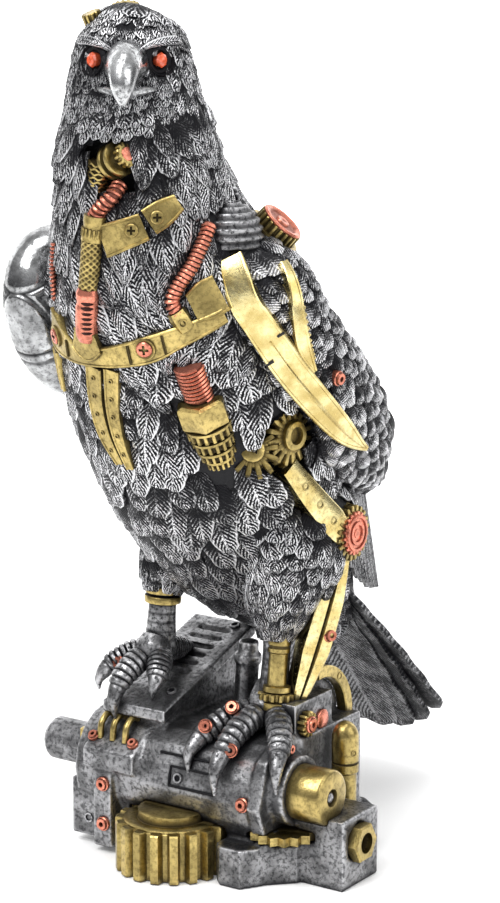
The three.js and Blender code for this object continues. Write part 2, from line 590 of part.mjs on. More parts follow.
    return solid(turned([[0, -ease], ...profile, [0, low + ease]], 8),
      alongPlug(plug.coilLength + plug.nutLength + 2 * clearance));
  } },
  { name: "bevel_gear", paint: brass, build: (ease) => join([
    solid(cog({ ...bevel, bore: 0 }, ease, false), bevelPlace),
    solid(turned([[bevel.bore - ease, 0], [bevel.hubRadius + ease, 0],
      [bevel.hubRadius + ease, bevel.thick + bevel.hubRise + ease],
      [bevel.bore - ease, bevel.thick + bevel.hubRise + ease], [bevel.bore - ease, 0]], 8), bevelPlace),
    solid(drum(bevel.hubRadius + ease, -6 - ease, 1, 8), bevelPlace)]) },
  { name: "pinion", paint: brass, build: (ease) => join([
    solid(cog(pinionWheel, ease, false), pinionPlace),
    solid(drum(pinionWheel.root - 2 + ease, -6 - ease, pinionWheel.thick + 2 + ease, 6), pinionPlace)]) },
  { name: "knee_wheel", paint: brass, build: (ease) => join([
    solid(drum(knee.backRadius + ease, -ease, knee.backThick + ease, 12), kneePlace),
    solid(cog({ ...knee, low: knee.backThick / 2 }, ease, false), kneePlace),
    solid(drum(knee.axle + ease, -14 - ease, knee.backThick / 2, 6), kneePlace)]) },
  { name: "thigh_strut", paint: brass, build: (ease) =>
    beam(thighStrut, thighBar.half, thighBar.thick, vec(1, -0.35, 0.1), ease) },
  { name: "shin_strut", paint: brass, build: (ease) => join([
    beam(shinStrut, shinBar.half, shinBar.thick, vec(1, -0.3, 0.2), ease),
    solid(drum(shinBar.bolt + ease, 0, shinBar.boltTop + ease, 8), boltPlace)]) },
  { name: "leg_rod", paint: brass, build: (ease) => join([
    solid(drum(legRod.radius + ease, -ease, legRod.length + ease, 8),
      towards(0, 0.12, 1).setPosition(bird(...rodFoot))),
    solid(drum(legRod.cap + ease, legRod.length - legRod.capLength - ease, legRod.length + 1 + ease, 8),
      towards(0, 0.12, 1).setPosition(bird(...rodFoot)))]) },
];

// Openings in the casting behind the fittings
function hollows() {
  const opening = new THREE.BoxGeometry(throat.wide * grow, throat.high * grow, 2 * throat.deep * grow);
  opening.rotateZ(throat.lean * degrees);
  const hip = new THREE.SphereGeometry(1, 7, 5);
  hip.scale(11 * grow, 14 * grow, 14 * grow);
  hip.translate(...bird(42, -23, 107).toArray());
  const socket = new THREE.SphereGeometry(eye.socket * grow, 6, 4);
  return join([solid(opening, onSurface(trunk, throat.travel, throat.angle)), solid(hip),
    ...[-1, 1].map((side) => solid(socket, eyePlace(side).multiply(
      new THREE.Matrix4().makeTranslation(0, 0, 0.3 * eye.socket))))]);
}

// The boss that carries the shoulder's wheels, and the shoulder's round itself
function shoulder() {
  const round = new THREE.SphereGeometry(12 * grow, 8, 6);
  return join([solid(round.translate(...bird(27, -33, 172).toArray())),
    solid(drum(8.5 * grow, -22 * grow, -1.5, 10), cogPlace)]);
}

function castEagle() {
  return join([
    trunkSolid(), wingSolid(wingSections), wingSolid(mirrored(wingSections)), wingShell(), shoulder(),
    thighSolid(leftThighSections), thighSolid(rightThighSections), primaries(1), primaries(-1), tail(),
    beak(), brow(1), brow(-1), foot(leftFoot), foot(rightFoot),
  ]).subtract(hollows());
}

// The machine under the eagle. Each value is a size of its own. What carries the eagle hangs from the
// deck, and what is built on the barrel follows the barrel
const barrel = { y: -12, radius: 20, from: -44, to: 34, proud: 1, sunk: 5 };
barrel.z = deckHeight + barrel.proud - barrel.radius;
barrel.front = barrel.y - barrel.radius;
const casing = { height: barrel.z - barrel.radius + barrel.sunk, halfLength: 52, halfWidth: 36 };
const crankcase = { from: [-42, -8, 8], to: [38, 32, deckHeight] };
const endPlate = { overhang: 2, thick: 5, lap: 2, sides: 8 };
const shaft = { y: barrel.y - 3, z: barrel.z + 3, radius: 8, length: 24, rounding: 2.5 };
const motor = { flangeRadius: 12.6, flangeThick: 6, capRadius: 9.8, capLength: 13, bore: 2.4 };
const baseGear = { x: -2, y: -30, root: 17.6, outer: 20.4, thick: 18, teeth: 18, boss: 12, bossThick: 4 };
const panel = { x: -22.5, width: 27, front: -25, length: 58, low: deckHeight + 6, rise: 19, thick: 4.5 };
const panelFoot = { inset: 2.5, front: 4, back: 3, sunk: 6 };
const louvres = { count: 6, pitch: 5.4, long: 14, wide: 2.6, deep: 1.6, first: 24 };
const springBlock = { from: -39, to: -17, front: barrel.front - 1, bottom: barrel.z + 2,
  lip: barrel.z + 9, top: barrel.z + 17.5, slope: 11 };
const bracket = { x: -30.5, width: 8, front: barrel.front - 1.5, bottom: 2, top: barrel.z + 1 };
const lug = { x: -41, width: 13, front: -29, back: barrel.y, bottom: 3, top: barrel.z - 5 };
const nutBlock = { from: [43, -18, 0], to: [62, 5, 25] };
const nut = { y: -8, z: 15.5, across: 12.4, thick: 3.2, bore: 3.6, sunk: 1.5 };
const gearHousing = { from: [26, -9, deckHeight - 18], to: [36, 15, deckHeight + 12] };
const wheelCase = { y: 13, z: deckHeight, radius: 15.6, from: 10, to: 30 };
const arch = { inner: 16, outer: 20.4, thick: 4, sweep: 118 };
const valve = { x: 45, y: 10, radius: 4.9, bottom: deckHeight - 15, straight: 12, neck: 4.2, stem: 20 };
const piston = { x: 1, y: 11, radius: 4.4, collar: 5.2, tip: 3.8, length: 30, lean: 4, sunk: 4 };
const idler = { x: 37, y: barrel.front + 14.5, z: barrel.z - 13.5, root: 10.6, outer: 12.6, thick: 3, teeth: 16 };

function box([x0, y0, z0], [x1, y1, z1]) {
  const geometry = new THREE.BoxGeometry(x1 - x0, y1 - y0, z1 - z0);
  return geometry.translate((x0 + x1) / 2, (y0 + y1) / 2, (z0 + z1) / 2);
}

// Turns a +Z body so that its axis is +X
const alongX = (geometry) => geometry.rotateY(Math.PI / 2);

// A plate of any outline in plan, between two heights
function slab(points, low, high) {
  const outline = new THREE.Shape(points.map(([x, y]) => new THREE.Vector2(x, y)));
  return new THREE.ExtrudeGeometry(outline, { depth: high - low, bevelEnabled: false })
    .translate(0, 0, low);
}

// A prism along X between two places, from an outline in Y and Z
function prism(points, from, to) {
  const outline = new THREE.Shape(points.map(([y, z]) => new THREE.Vector2(y, z)));
  return new THREE.ExtrudeGeometry(outline, { depth: to - from, bevelEnabled: false })
    .rotateY(Math.PI / 2).rotateX(Math.PI / 2).translate(from, 0, 0);
}

// The casing's plan, as shares of its half length and half width
const casingPlan = [
  [-0.85, -0.56], [-0.63, -0.78], [-0.42, -0.67], [0.31, -0.83], [0.42, -1], [0.6, -1], [0.71, -0.75],
  [0.85, -0.56], [0.96, 0], [1, 0.39], [0.92, 0.78], [0.73, 1], [-0.65, 1], [-0.85, 0.78],
].map(([x, y]) => [x * casing.halfLength, y * casing.halfWidth]);

// The louvred panel that leans on the machine, and the block under it
function panelParts() {
  const { front, low, rise, thick, x, width } = panel;
  const back = front + panel.length;
  const foot = {
    front: front + panelFoot.front, back: back - panelFoot.back, low: deckHeight - panelFoot.sunk };
  const tilt = Math.atan(rise / panel.length);
  const half = width / 2 - panelFoot.inset;
  const slots = Array.from({ length: louvres.count }, (_, n) => {
    const slot = new THREE.BoxGeometry(louvres.long, louvres.wide, 2 * louvres.deep);
    const along = louvres.first + n * louvres.pitch;
    slot.rotateX(tilt);
    return solid(slot.translate(x, front + along, low + along * Math.tan(tilt)));
  });
  const board = solid(prism([[front, low], [back, low + rise], [back, low + rise - thick],
    [front, low - thick]], x - width / 2, x + width / 2));
  const block = solid(prism([[foot.front, foot.low], [foot.front, low - 1],
    [foot.back, low + rise - panelFoot.back], [foot.back, foot.low]], x - half, x + half));
  return { slots, board, block };
}

function leaningPiston() {
  const { radius, collar, tip, length, sunk } = piston;
  const [neck, shoulder] = [length - 8, length - 5];
  const profile = [[0, 0], [radius, 0], [radius, neck], [collar, neck], [collar, shoulder], [tip, shoulder],
    [tip, length], [0, length]];
  const leaning = new THREE.Matrix4().makeRotationY(piston.lean * degrees)
    .setPosition(piston.x, piston.y, deckHeight - sunk);
  return solid(turned(profile, 10), leaning);
}

const plateRadius = barrel.radius + endPlate.overhang;
const flangeFrom = barrel.to + endPlate.thick - endPlate.lap - 0.5;

function machineCasting() {
  const { slots, board, block } = panelParts();
  const shaftEnd = turned([[0, 0], [shaft.radius, 0], [shaft.radius, shaft.length - shaft.rounding],
    [shaft.radius - shaft.rounding, shaft.length], [0, shaft.length]], 14);
  const parts = [
    solid(slab(casingPlan, 0, casing.height)),
    solid(alongX(drum(barrel.radius, 0, barrel.to - barrel.from, 16))
      .translate(barrel.from, barrel.y, barrel.z)),
    solid(box(crankcase.from, crankcase.to)),
    solid(alongX(drum(plateRadius, 0, endPlate.thick, endPlate.sides))
      .translate(barrel.to - endPlate.lap, barrel.y, barrel.z)),
    solid(alongX(shaftEnd).rotateZ(Math.PI).translate(barrel.from + 1, shaft.y, shaft.z)),
    solid(alongX(drum(motor.flangeRadius, 0, motor.flangeThick, 16)).translate(flangeFrom, shaft.y, shaft.z)),
    board, block,
    solid(prism([[springBlock.front, springBlock.bottom], [springBlock.front, springBlock.lip],
      [springBlock.front + springBlock.slope, springBlock.top], [barrel.y, springBlock.top],
      [barrel.y, springBlock.bottom]], springBlock.from, springBlock.to)),
    solid(box([bracket.x - bracket.width / 2, bracket.front, bracket.bottom],
      [bracket.x + bracket.width / 2, barrel.y, bracket.top])),
    solid(box([lug.x - lug.width / 2, lug.front, lug.bottom], [lug.x + lug.width / 2, lug.back, lug.top])),
    solid(box(nutBlock.from, nutBlock.to)),
    solid(box(gearHousing.from, gearHousing.to)),
    solid(alongX(drum(wheelCase.radius, 0, wheelCase.to - wheelCase.from, 18))
      .translate(wheelCase.from, wheelCase.y, wheelCase.z)),
    leaningPiston(),
  ];
  return slots.reduce((whole, slot) => whole.subtract(slot), join(parts));
}

// Pieces that are let into the machine. build(ease) is a piece in its own frame, and the same piece
// larger all round by ease is its pocket
const motorSeat = flangeFrom + motor.flangeThick;
const machineFittings = [
  { name: "base_gear", paint: brass, place: new THREE.Matrix4().setPosition(baseGear.x, baseGear.y, 0),
    build: (ease) => join([solid(cog(baseGear, ease)),
      solid(drum(baseGear.boss + ease, 0, baseGear.thick + baseGear.bossThick + ease, 12))]) },
  { name: "motor_cap", paint: brass, place: towards(1, 0, 0).setPosition(motorSeat, shaft.y, shaft.z),
    build: (ease) => solid(turned([[0, -3 - ease], [motor.capRadius - 3 + ease, -3 - ease],
      [motor.capRadius - 3 + ease, -ease], [motor.capRadius + ease, -ease],
      [motor.capRadius + ease, motor.capLength - 1], [motor.capRadius - 1, motor.capLength],
      [motor.bore, motor.capLength], [motor.bore, motor.capLength - 2.5], [0, motor.capLength - 2.5]], 12)) },
  { name: "casing_nut", paint: brass, place: towards(1, 0, 0).setPosition(nutBlock.to[0], nut.y, nut.z),
    build: (ease) => {
      const radius = nut.across / Math.sqrt(3) + ease;
      const bore = nut.bore;
      const low = -nut.sunk - ease;
      const profile = [[bore, low], [radius, low], [radius, nut.thick], [bore, nut.thick], [bore, low]];
      return solid(turned(profile, 6));
    } },
  { name: "idler_gear", paint: brass, place: new THREE.Matrix4().setPosition(idler.x, idler.y, idler.z),
    build: (ease) => solid(cog(idler, ease, false)) },
  { name: "bullet_valve", paint: brass,
    place: new THREE.Matrix4().setPosition(valve.x, valve.y, valve.bottom),
    build: (ease) => {
      const r = valve.radius + ease;
      const neck = valve.neck + ease;
      const rounds = 3;
      const dome = Array.from({ length: rounds }, (_, i) => [r * Math.cos((i / rounds) * Math.PI / 2),
        valve.straight + (r + 1.5) * Math.sin((i / rounds) * Math.PI / 2)]);
      dome.push([0, valve.straight + r + 1.5]);
      const low = -valve.stem - ease;
      return solid(turned([[0, low], [neck, low], [neck, -ease], [r, -ease], [r, 2.4], ...dome], 9));
    } },
  { name: "pipe_arch", paint: brass,
    place: towards(1, 0, 0).setPosition(wheelCase.to - 0.5, wheelCase.y, wheelCase.z),
    build: (ease) => {
      const outline = new THREE.Shape();
      const [from, to] = [-20 * degrees, (arch.sweep - 20) * degrees];
      outline.absarc(0, 0, arch.outer + ease, from, to, false);
      outline.absarc(0, 0, arch.inner - ease, to, from, true);
      const geometry = new THREE.ExtrudeGeometry(outline, {
        depth: arch.thick + 2 * ease, bevelEnabled: false, curveSegments: 7 });
      return solid(geometry.translate(0, 0, -ease));
    } },
];

// Seats pieces in a casting: each is cut clear of those before it, and the casting of all of them
function seat(casting, fittings, group) {
  const pockets = [];
  let whole = casting;
  for (const { name, paint: finish, place, build } of fittings) {
    const toHere = (made) => (place ? made.transform(place.toArray()) : made);
    let piece = toHere(build(0));
    for (const pocket of pockets) piece = piece.subtract(pocket);
    const pocket = toHere(build(clearance));
    pockets.push(pocket);
    whole = whole.subtract(pocket);
    group.add(named(name, piece, finish));
  }
  return whole;
}

// A casting's one body: crumbs that the pockets cut free, and closed voids inside, fall away
function oneBody(casting) {
  return casting.decompose().reduce((best, body) => (body.volume() > best.volume() ? body : best));
}

// A mesh whose position is the middle of its box
function named(name, piece, finish) {
  const geometry = shape(piece);
  geometry.computeBoundingBox();
  const middle = geometry.boundingBox.getCenter(vec(0, 0, 0)).round();
  const mesh = new THREE.Mesh(geometry.translate(...middle.clone().negate().toArray()), finish);
  mesh.position.copy(middle);
  mesh.name = name;
  return mesh;
}

const figurine = new THREE.Group();
const eagle = new THREE.Group();
eagle.position.z = deckHeight;
figurine.add(eagle);

const eagleCasting = oneBody(seat(castEagle(), eagleFittings, eagle));
eagle.add(named("eagle", eagleCasting, silver));

// The deck is cut clear of the toes and of the rods that stand on it
const footprints = join([foot(leftFoot, clearance), foot(rightFoot, clearance),
  ...eagleFittings.filter(({ name }) => ["leg_rod", "shin_strut"].includes(name))
    .map(({ build }) => build(clearance))]).translate([0, 0, deckHeight]);
const machine = oneBody(seat(machineCasting().subtract(footprints), machineFittings, figurine));
figurine.add(named("machine_base", machine, silver));

export default figurine;
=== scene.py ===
import math

import bpy
import numpy as np
from bpy.props import FloatProperty, FloatVectorProperty, IntProperty, PointerProperty
from mathutils import Matrix, Vector


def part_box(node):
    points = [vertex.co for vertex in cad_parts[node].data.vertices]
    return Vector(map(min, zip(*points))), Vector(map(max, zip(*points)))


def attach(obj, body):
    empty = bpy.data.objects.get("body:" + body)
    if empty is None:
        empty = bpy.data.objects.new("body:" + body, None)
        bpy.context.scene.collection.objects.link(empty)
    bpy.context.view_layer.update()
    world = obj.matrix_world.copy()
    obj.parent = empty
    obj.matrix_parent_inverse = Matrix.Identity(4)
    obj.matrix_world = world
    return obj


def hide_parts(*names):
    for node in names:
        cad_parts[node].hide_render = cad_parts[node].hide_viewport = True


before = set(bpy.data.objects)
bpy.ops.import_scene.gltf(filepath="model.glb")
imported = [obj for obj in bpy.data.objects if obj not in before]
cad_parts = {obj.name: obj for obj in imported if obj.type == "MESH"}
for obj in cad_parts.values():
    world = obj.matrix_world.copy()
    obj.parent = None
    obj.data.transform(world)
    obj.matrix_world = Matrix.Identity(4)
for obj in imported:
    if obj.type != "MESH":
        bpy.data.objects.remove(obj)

bl_info = {
    "name": "Steampunk Eagle Figurine",
    "version": (1, 0, 0),
    "blender": (4, 5, 0),
    "location": "3D View > Sidebar > Eagle",
    "description": "Plumage, fittings, paints and studio for the eagle on its machine",
    "category": "Object",
}

# The figurine is drawn in millimetres, as its solids are, and make() turns them into metres
MM = 0.001
DECK = 48.0  # height of the deck under the eagle's feet
SINK = 2.0  # how far a strap reaches into the plumage
PAST_END = 6.0  # how far before or behind the ends of its spine a form still counts
HIDDEN = 4.5  # how deep in another form a feather isn't seen
TURN = 2 * math.pi
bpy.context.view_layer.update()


# Curves and free forms


def unit(vectors):
    """Vectors at length one."""
    vectors = np.asarray(vectors, float)
    return vectors / np.maximum(np.linalg.norm(vectors, axis=-1, keepdims=True), 1e-9)


def catmull(values, share):
    """A uniform Catmull-Rom curve through values, read at shares from 0 to 1."""
    values = np.asarray(values, float)
    spans = len(values) - 1
    place = np.clip(np.asarray(share, float), 0, 1) * spans
    low = np.minimum(place.astype(int), spans - 1)
    t = place - low
    if values.ndim > 1:
        t = t[..., None]
    ends = [2 * values[0] - values[1]], [2 * values[-1] - values[-2]]
    padded = np.concatenate([ends[0], values, ends[1]])
    p0, p1, p2, p3 = (padded[low + k] for k in range(4))
    m1, m2 = 0.5 * (p2 - p0), 0.5 * (p3 - p1)
    return p1 + m1 * t + (3 * (p2 - p1) - 2 * m1 - m2) * t**2 + (2 * (p1 - p2) + m1 + m2) * t**3


def round_angles(count):
    """Angles spread evenly round a full turn."""
    return np.arange(count) / count * TURN


def ball_grid(rows, columns):
    """Corners of a ball of radius one, row by row from its top, and the angle of each row."""
    tall, round_it = np.linspace(0, math.pi, rows)[:, None], round_angles(columns)[None, :]
    return np.stack([np.sin(tall) * np.cos(round_it), np.sin(tall) * np.sin(round_it),
                     np.cos(tall) + 0 * round_it], -1), tall


class Surface:
    """A free form through sections (x, y, z, half width, half depth, turn) across a spine.

    A place on it is a travel along the spine in millimetres and an angle, 0 at the front.
    """

    def __init__(self, sections):
        sections = np.array(sections, float)
        share = np.linspace(0, 1, 801)
        self.spine = catmull(sections[:, :3], share) + (0, 0, DECK)
        steps = np.linalg.norm(np.diff(self.spine, axis=0), axis=1)
        self.travel = np.concatenate([[0], np.cumsum(steps)])
        self.length = self.travel[-1]
        self.front = -unit(np.cross([1.0, 0, 0], np.gradient(self.spine, self.travel, axis=0)))
        self.size = catmull(sections[:, 3:], share)
        self.table = np.hstack([self.spine, self.front, self.size])

    def point(self, travel, angle, lift=0.0):
        """A point on the form or lifted off it, its angle in radians."""
        travel, angle, lift = np.broadcast_arrays(travel, angle, lift)
        row = np.stack([np.interp(travel, self.travel, column) for column in self.table.T], axis=-1)
        wide, deep, look = row[..., 6], row[..., 7], np.radians(row[..., 8])
        sin, cos = np.sin(angle), np.cos(angle)
        out = unit(np.stack([sin * deep, cos * wide], axis=-1))
        across = wide * sin + out[..., 0] * lift
        ahead = deep * cos + out[..., 1] * lift
        side = across * np.cos(look) + ahead * np.sin(look)
        front = ahead * np.cos(look) - across * np.sin(look)
        return row[..., :3] + side[..., None] * np.array([1.0, 0, 0]) + front[..., None] * row[..., 3:6]

    def normal(self, travel, angle):
        """The direction straight out of the form, its angle in radians."""
        down = self.point(travel + 1, angle) - self.point(travel - 1, angle)
        round_it = self.point(travel, angle + 0.03) - self.point(travel, angle - 0.03)
        return unit(np.cross(down, round_it))

    def over(self, travel, angle, lift=0.0):
        """A point that stands off the surface, its angle in degrees."""
        angle = np.radians(angle)
        return self.point(travel, angle) + self.normal(travel, angle) * np.asarray(lift)[..., None]

    def path(self, *spots):
        """Points that stand off the surface, each from (travel, angle in degrees, lift)."""
        return [self.over(*spot) for spot in spots]

    def place(self, travel, angle, lift=0.0):
        """A frame on the surface whose +Z stands off it, its angle in degrees."""
        return aimed(self.over(travel, angle, lift), self.normal(travel, np.radians(angle)))

    def reach(self, travel, angle):
        """Millimetres for each radian round the surface."""
        ahead = self.point(travel, angle + 0.02) - self.point(travel, angle - 0.02)
        return np.linalg.norm(ahead, axis=-1) / 0.04

    def inside(self, points, margin=0.0):
        """Which points lie inside the form by more than a margin."""
        points = np.atleast_2d(points)
        spine, table = self.spine[::8], self.table[::8]
        nearest = np.argmin(((points[:, None] - spine) ** 2).sum(-1), axis=1)
        row, off = table[nearest], points - spine[nearest]
        look = np.radians(row[:, 8])
        side, front = off[:, 0], (off * row[:, 3:6]).sum(-1)
        across = side * np.cos(look) - front * np.sin(look)
        ahead = side * np.sin(look) + front * np.cos(look)
        beyond_end = np.abs((off * np.cross([1.0, 0, 0], row[:, 3:6])).sum(-1)) > PAST_END
        wide, deep = np.maximum(row[:, 6] - margin, 0.5), np.maximum(row[:, 7] - margin, 0.5)
        return ((across / wide) ** 2 + (ahead / deep) ** 2 < 1) & ~beyond_end


def aimed(origin, axis):
    """A frame at origin whose +Z is an axis and whose +X is as level as it can be."""
    axis = unit(axis)
    level = np.array([-axis[1], axis[0], 0]) if abs(axis[2]) < 0.999 else np.array([1.0, 0, 0])
    level = unit(level - axis * np.dot(level, axis))
    frame_here = np.eye(4)
    frame_here[:3, :4] = np.stack([level, np.cross(axis, level), axis, np.asarray(origin, float)], axis=1)
    return frame_here


# The eagle's forms: x, y, z of the middle, half width, half depth, and the turn of the section

TRUNK = Surface([
    (1, -49, 252, 4, 4.5, 31), (1, -50, 249.5, 12, 13, 31), (0.5, -51, 244, 16.5, 18, 31),
    (0, -52, 235, 19.5, 21, 31), (-0.5, -51, 223, 22, 22.5, 29), (-1.5, -49, 211, 25, 24.5, 24),
    (-1.5, -46, 197, 27.5, 27, 14), (-1, -42, 182, 32, 30.5, 4), (0, -35, 164, 39, 35, 0),
    (0, -26, 144, 43, 38, 0), (0, -14, 118, 45, 40, 0), (0, 2, 90, 42, 38, 0),
    (0, 20, 66, 35, 33, 0), (0, 40, 46, 25, 24, 0), (0, 60, 28, 15, 12, 0), (0, 70, 17, 8, 6, 0)])
WING_SECTIONS = [
    (27, -41, 179, 3, 4, 0), (32, -38, 174, 8, 10, 0), (39, -32, 163, 12, 15, 0),
    (42, -23, 147, 12, 16, 0), (43, -8, 130, 11, 18, 0), (42, 11, 113, 9, 19, 0),
    (39, 31, 99, 7, 16, 0), (34, 44, 87, 4, 9, 0), (32, 49, 82, 2, 3, 0)]
WINGS = {1: Surface(WING_SECTIONS), -1: Surface([(-s[0], *s[1:]) for s in WING_SECTIONS])}
THIGHS = {
    1: Surface([(24, 4, 94, 13, 17, 0), (28, 4, 80, 18, 23, 0), (29, 3, 64, 17.5, 22, 0),
                (27, 1, 50, 14, 16, 0), (24.5, 0, 39, 9, 10, 0), (23, -1, 32, 5, 5.5, 0)]),
    -1: Surface([(-18, 5, 92, 13, 17, 0), (-20, 5, 80, 14.5, 19, 0), (-21, 4, 68, 14, 17, 0),
                 (-22, 1, 57, 11.5, 13, 0), (-24, -2, 48, 8, 9, 0), (-25, -4, 42, 5, 5, 0)])}
LOOK = math.radians(31)  # the head is turned to its left


def bird(x, y, z):
    """A point given from the deck."""
    return np.array([x, y, z + DECK], float)


def face(ahead, left, up):
    """A point given from the middle of the head."""
    return bird(ahead * math.sin(LOOK) + left * math.cos(LOOK),
                -52 - ahead * math.cos(LOOK) + left * math.sin(LOOK), 234 + up)


# Patches: corners, faces and what the paints read at each corner. barb is (across a feather from -1
# to 1, millimetres along it, a random number), and the dark share is 1 where black undercoat is left
# and also holds the painted shadow on the covered roots of the feathers


class Patch:
    """Corners and faces with the values that the paint reads."""

    def __init__(self, corners, faces, barb=None, undercoat_and_shade=0.0, coat=0):
        self.corners = np.asarray(corners, float).reshape(-1, 3)
        self.faces = [tuple(f) for f in faces]
        count = len(self.corners)
        self.barb = np.zeros((count, 3)) if barb is None else np.asarray(barb, float).reshape(-1, 3)
        self.undercoat_and_shade = np.broadcast_to(np.asarray(undercoat_and_shade, float), (count,)).copy()
        self.coats = [coat] * len(self.faces)

    def moved(self, frame_here):
        self.corners = self.corners @ frame_here[:3, :3].T + frame_here[:3, 3]
        return self


def placed(frame_here, *patches):
    """Patches moved into one frame."""
    return [patch.moved(frame_here) for patch in patches]


def merged(patches):
    """Patches as one."""
    patches = list(patches)
    whole = Patch(np.vstack([p.corners for p in patches]), [])
    start = 0
    for patch in patches:
        whole.faces += [tuple(i + start for i in f) for f in patch.faces]
        whole.coats += patch.coats
        start += len(patch.corners)
    whole.barb = np.vstack([p.barb for p in patches])
    whole.undercoat_and_shade = np.concatenate([p.undercoat_and_shade for p in patches])
    return whole


def grid_faces(rows, columns, wrap=False, start=0):
    """Faces of a grid of corners, closed round if wrap."""
    r = np.arange(rows - 1)[:, None]
    c = np.arange(columns if wrap else columns - 1)[None, :]
    n = (c + 1) % columns
    quads = np.stack([r * columns + c, r * columns + n, (r + 1) * columns + n, (r + 1) * columns + c], -1)
    return (quads.reshape(-1, 4) + start).tolist()


def loft(rings, caps=True, coat=0, undercoat_and_shade=0.0):
    """A body through rings of as many corners each."""
    rings = np.asarray(rings, float)
    rows, columns = rings.shape[:2]
    faces = grid_faces(rows, columns, wrap=True)
    if caps:
        faces.append(list(range(columns))[::-1])
        faces.append([(rows - 1) * columns + i for i in range(columns)])
    if np.ndim(undercoat_and_shade) == 1:
        undercoat_and_shade = np.repeat(undercoat_and_shade, columns)
    return Patch(rings, faces, undercoat_and_shade=undercoat_and_shade, coat=coat)


def turned(profile, sides=24, caps=True, coat=0, undercoat_and_shade=0.0):
    """A body turned about +Z from (radius, height) points, or (radius, height, share of black) where it is
    black.
    """
    angle = round_angles(sides)
    rings = [[(r * math.cos(a), r * math.sin(a), h) for a in angle] for r, h, *_ in profile]
    return loft(rings, caps, coat, [point[2] if len(point) > 2 else undercoat_and_shade for point in profile])


def swept(points, steps):
    """Points along a curve and the two directions across it, carried along without twist."""
    points = np.asarray(points, float)
    dense = catmull(points, np.linspace(0, 1, 20 * len(points)))
    travel = np.concatenate([[0], np.cumsum(np.linalg.norm(np.diff(dense, axis=0), axis=1))])
    at = np.linspace(0, travel[-1], steps + 1)
    middle = np.stack([np.interp(at, travel, column) for column in dense.T], axis=1)
    along = unit(np.gradient(middle, axis=0))
    first = np.cross(along[0], [0.3, 0.2, 1.0])
    across = [unit(first)]
    for direction in along[1:]:
        across.append(unit(across[-1] - direction * np.dot(across[-1], direction)))
    across = np.array(across)
    return middle, across, np.cross(along, across), travel[-1]


def rod(points, radii, sides=16, steps=None, coat=0, undercoat_and_shade=0.0):
    """A round rod along points, its radius read from a list."""
    steps = steps or 4 * len(points)
    middle, across, up, _ = swept(points, steps)
    radius = np.interp(np.linspace(0, 1, steps + 1), np.linspace(0, 1, len(radii)), radii)
    angle = round_angles(sides)
    rings = (middle[:, None] + radius[:, None, None] * (np.cos(angle)[None, :, None] * across[:, None]
             + np.sin(angle)[None, :, None] * up[:, None]))
    return loft(rings, coat=coat, undercoat_and_shade=undercoat_and_shade)


def spring(points, radius, wire, pitch, sides=6, per_turn=14):
    """Wire wound round a path, on a dark core."""
    _, _, _, length = swept(points, 8)
    turns = max(2, round(length / pitch))
    steps = turns * per_turn
    middle, across, up, _ = swept(points, steps)
    phase = np.arange(steps + 1) / per_turn * TURN
    out = np.cos(phase)[:, None] * across + np.sin(phase)[:, None] * up
    path = middle + out * (radius - wire)
    along = unit(np.gradient(path, axis=0))
    lift = np.cross(along, out)
    angle = round_angles(sides)
    rings = path[:, None] + wire * (np.cos(angle)[None, :, None] * out[:, None]
                                    + np.sin(angle)[None, :, None] * lift[:, None])
    core = rod(points, [radius - 1.3 * wire] * 2, 12, 20, undercoat_and_shade=0.75)
    return merged([loft(rings), core])


def outlined(outline, low, high, chamfer=0.3, bore=0.0, coat=0):
    """A flat body along +Z from an outline round the origin, its edges broken, with a bore if given."""
    outline = np.asarray(outline, float)
    radius = np.linalg.norm(outline, axis=1, keepdims=True)
    inner = outline * (1 - chamfer / np.maximum(radius, 1e-6))
    hole = outline / radius * max(bore, 0.02)

    def ring(plan, height):
        return np.hstack([plan, np.full((len(plan), 1), height)])

    rings = [ring(hole, low), ring(inner, low), ring(outline, low + chamfer),
             ring(outline, high - chamfer), ring(inner, high), ring(inner * 0.82, high), ring(hole, high)]
    if bore:
        rings.append(rings[0])
    return loft(rings, caps=False, coat=coat)


def cog_outline(root, outer, teeth, land=0.34):
    """Round-cornered teeth round the origin."""
    points = []
    for tooth in range(teeth):
        for at, radius in ((0, root), (0.09, root + 0.55 * (outer - root)), (0.16, outer),
                           (0.16 + land, outer), (0.25 + land, root + 0.55 * (outer - root)),
                           (0.34 + land, root)):
            angle = (tooth + at) / teeth * TURN
            points.append((radius * math.cos(angle), radius * math.sin(angle)))
    return points


def cog(root, outer, thick, teeth, low=0.0, bore=0.0, chamfer=0.35, coat=0):
    """A flat toothed wheel along +Z."""
    return outlined(cog_outline(root, outer, teeth), low, low + thick, chamfer, bore, coat)


def cross_head(radius, rise, coat=0):
    """A screw's head along +Z with a cross recess."""
    arm, half = 0.62 * radius, 0.17 * radius
    angle = round_angles(48)
    folded = (angle + TURN / 8) % (TURN / 4) - TURN / 8
    side = np.abs(np.sin(folded))
    plus = np.where(side * arm / np.cos(folded) <= half, arm / np.cos(folded), half / np.maximum(side, 0.01))

    def ring(r, height):
        r = np.broadcast_to(r, angle.shape)
        return np.stack([r * np.cos(angle), r * np.sin(angle), np.full(48, height)], axis=1)

    head = loft([ring(radius, -1.0), ring(radius, rise * 0.6), ring(radius * 0.86, rise), ring(plus, rise)],
                caps=False, coat=coat)
    well = loft([ring(plus, rise), ring(plus, rise - 0.7 * radius * 0.5), ring(0.02, rise - 0.35 * radius)],
                caps=False, coat=coat, undercoat_and_shade=[0.6, 1.0, 1.0])
    return merged([head, well])


def ring_bolt(radius, rise, coat=0):
    """A washer with a round head and a black bore, as the copper bolts are."""
    profile = [(radius, -1), (radius, 0.45 * rise), (0.86 * radius, 0.6 * rise),
               (0.8 * radius, 0.5 * rise, 0.7), (0.74 * radius, rise), (0.36 * radius, rise),
               (0.3 * radius, 0.3 * rise, 1), (0.02, 0.3 * rise, 1)]
    return turned(profile, 20, coat=coat)


